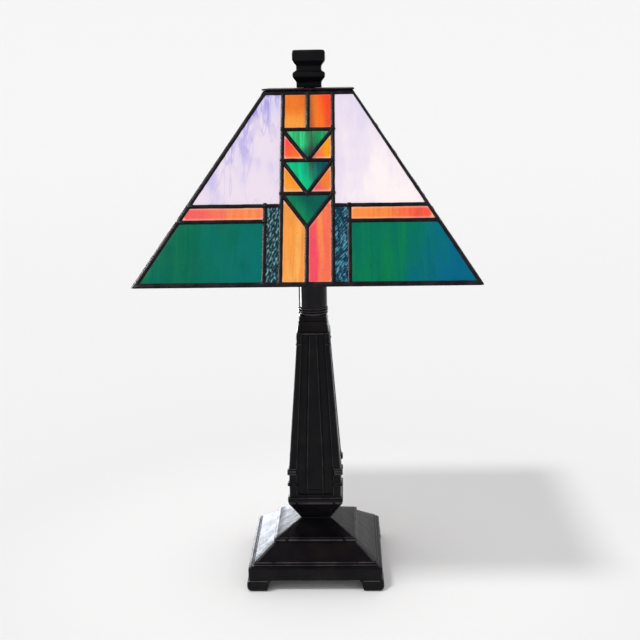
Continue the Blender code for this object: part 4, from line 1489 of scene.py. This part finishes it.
def makeLampholder():
    outline = rounded(inMm(lampholder["body"]), lampholder["rounding"], 2)
    bm = loft(turnedLoops(outline, lampSteps, lampMiddle), capFirst=True, capLast=True)
    build("lampholder_body", bm, "black_plastic", 35.0, "stand", "black_plastic", "socket_body")
    outer = rolledLoops(lampholder["shellOuter"], **lampholder["shell"])
    inner = rolledLoops(lampholder["shellInner"], **lampholder["shell"])
    rim = turnedLoops(inMm(lampholder["shellRim"]), lampSteps, lampMiddle)
    bm = loft([*outer, *rim, *reversed(inner)], closed=True)
    build("lampholder_shell", bm, "brass", 40.0, "stand", "brass", "screw_shell")


lamp = {
    "radius": 22.5,
    "neck": 11.9,
    "centre": 346.8,
    "wall": 0.8,
    "steps": 26,
    "neckEnds": (313.5, 323.0, 326.0),
    "bottom": 294.3,
    # the cap's (radius, height above the bottom), below and above its thread
    "capLower": ((0.3, 0.0), (4.2, 0.0), (4.7, 0.4), (4.7, 1.2), (8.5, 1.8), (11.6, 4.2), (12.6, 5.8)),
    "capUpper": ((13.2, 25.0), (12.3, 25.2), (12.2, 24.0), (12.0, 8.0), (8.0, 4.5), (0.3, 3.5)),
    "thread": {"radius": 12.7, "depth": 0.45, "levels": 32, "ease": 0.125},
    "threadEnds": (6.5, 24.4),
}


def makeLamp():
    neck, wall, (neckLow, neckMiddle, neckHigh) = lamp["neck"], lamp["wall"], lamp["neckEnds"]

    def envelope(radius, opening):
        last = math.pi - math.asin(opening / radius)
        turns = [last * step / lamp["steps"] for step in range(lamp["steps"] + 1)]
        rows = [(radius * math.sin(turn), radius * math.cos(turn)) for turn in turns]
        return [(max(0.02, across), lamp["centre"] + up) for across, up in rows]

    outside = envelope(lamp["radius"], neck)
    outside += [(neck - 0.1, neckHigh), (neck, neckMiddle), (neck, neckLow)]
    inside = envelope(lamp["radius"] - wall, neck - wall)
    rows = [*outside, (neck - wall, neckLow), (neck - wall, neckMiddle), *reversed(inside)]
    bm = lathe(rows, lampSteps, lampMiddle, capFirst=True, capLast=True)
    build("lamp_glass", bm, "opal_glass", 50.0, "bulb", "opal_glass", "bulb_glass")

    bottom = lamp["bottom"]
    lower, upper = ([(radius, bottom + up) for radius, up in lamp[key]] for key in ("capLower", "capUpper"))
    low, high = (bottom + up for up in lamp["threadEnds"])
    loops = turnedLoops(inMm(lower), lampSteps, lampMiddle)
    loops += rolledLoops(low=low, high=high, **lamp["thread"])
    loops += turnedLoops(inMm(upper), lampSteps, lampMiddle)
    build("lamp_cap", loft(loops, capFirst=True, capLast=True), "nickel", 40.0, "bulb", "nickel", "bulb_cap")


def gripTree():  # ribs repeated round a knob
    tree = Tree(
        "knobGrip",
        Count=("NodeSocketInt", 24),
        Radius=("NodeSocketFloat", 5.0 * mm),
        Length=("NodeSocketFloat", 6.0 * mm),
        Rib=("NodeSocketFloat", 0.4 * mm),
        Finish=("NodeSocketMaterial", None),
    )
    sockets = {"Vertices": 8, "Side Segments": 1, "Radius": tree.given("Rib"), "Depth": tree.given("Length")}
    bar = tree.node("GeometryNodeMeshCylinder", {}, sockets)
    sockets = {"Resolution": 96, "Radius": tree.given("Radius")}
    ring = tree.node("GeometryNodeCurvePrimitiveCircle", {}, sockets)
    sockets = {"Curve": ring, "Count": tree.given("Count")}
    dots = tree.node("GeometryNodeCurveToPoints", {"mode": "COUNT"}, sockets)
    ribs = tree.node("GeometryNodeInstanceOnPoints", {}, {"Points": dots, "Instance": bar})
    both = tree.node("GeometryNodeJoinGeometry", {}, {0: [tree.given("Geometry"), ribs]})
    return tree.finish(both)


switch = {
    "gripMiddle": 13.35 * mm,  # from the shaft's end
    "ribs": 22,
    "ribRadius": 5.0 * mm,
    "ribLength": 7.2 * mm,
    "ribThick": 0.42 * mm,
}


def makeSwitch():
    low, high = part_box("switch_key")
    length = (high.x - low.x) / mm
    rows = [
        (0.2, length), (4.2, length), (4.9, length - 0.3), (5.1, length - 1.0), (5.1, 9.8), (4.9, 9.1),
        (4.3, 8.7), (1.5, 8.7), (1.5, 0.3), (1.2, 0.0), (0.2, 0.0),
    ]
    bm = lathe(rows, 32, capFirst=True, capLast=True)
    bm.transform(Matrix.Translation((0.0, 0.0, -switch["gripMiddle"])))
    piece = place("switch_knob", meshFrom(bm, "switch_knob"))
    piece = useTree(
        piece, gripTree(), Count=switch["ribs"], Radius=switch["ribRadius"], Length=switch["ribLength"],
        Rib=switch["ribThick"], Finish=finishes["black_plastic"],
    )
    lay = Matrix.Translation((low.x + switch["gripMiddle"], lampY * mm, (low.z + high.z) / 2))
    piece.data.transform(lay @ Matrix.Rotation(math.pi / 2, 4, "Y"))
    finished(smooth(piece, 40.0), "switch", "black_plastic", "switch_key")


makeLampholder()
makeLamp()
makeSwitch()


cover = {
    "under": ((-1.2, 0.0, 2.0), (-0.3, 0.25, 2.0), (0.0, 0.8, 2.0)),
    "over": ((0.0, -0.3, 2.0), (-0.3, 0.0, 2.0)),
    "corner": 2.0 * mm,
    "sag": 0.05 * mm,
    "spots": (-0.8, -0.4, 0.0, 0.4, 0.8),
}


def makeCover():
    low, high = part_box("base_cover")
    middle = high.x * 0.5
    rows = [
        (middle, low.z + cover["sag"], cover["corner"]),
        *plateRows("base_cover", cover["under"], cover["over"]),
        (middle, high.z, cover["corner"]),
    ]
    bm = loft([squareLoop(*row, cover["spots"]) for row in rows], capFirst=True, capLast=True)
    build("felt_cover", bm, "felt", 40.0, "stand", "felt", "base_cover")


bushing = {"bore": 1.9, "body": 2.9, "flange": 4.1, "flangeFrom": 56.3}


def makeBushing():
    low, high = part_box("cord_inlet_bushing")
    front, back = low.y / mm, high.y / mm
    bore, body, flange, start = bushing["bore"], bushing["body"], bushing["flange"], bushing["flangeFrom"]
    rows = [
        (bore, back - 0.4), (2.3, back), (3.6, back), (flange, back - 0.45), (flange, start), (body, start),
        (body, front + 0.4), (2.5, front), (2.2, front), (bore, front + 0.3),
    ]
    bm = lathe(rows, 24, closed=True)
    lift = Matrix.Translation((0.0, 0.0, base["inletHeight"] * mm))
    bm.transform(lift @ Matrix.Rotation(-math.pi / 2, 4, "X"))
    build("inlet_bushing", bm, "black_plastic", 35.0, "stand", "black_plastic", "cord_inlet_bushing")


makeCover()
makeBushing()
for node, finish in (("base_weight", "iron"), ("socket_bracket", "steel"), ("socket_contact", "brass")):
    for materialSlot in bpy.data.objects[node].material_slots:
        materialSlot.material = finishes[finish]
print("lampholder, lamp, switch and underside fitted")
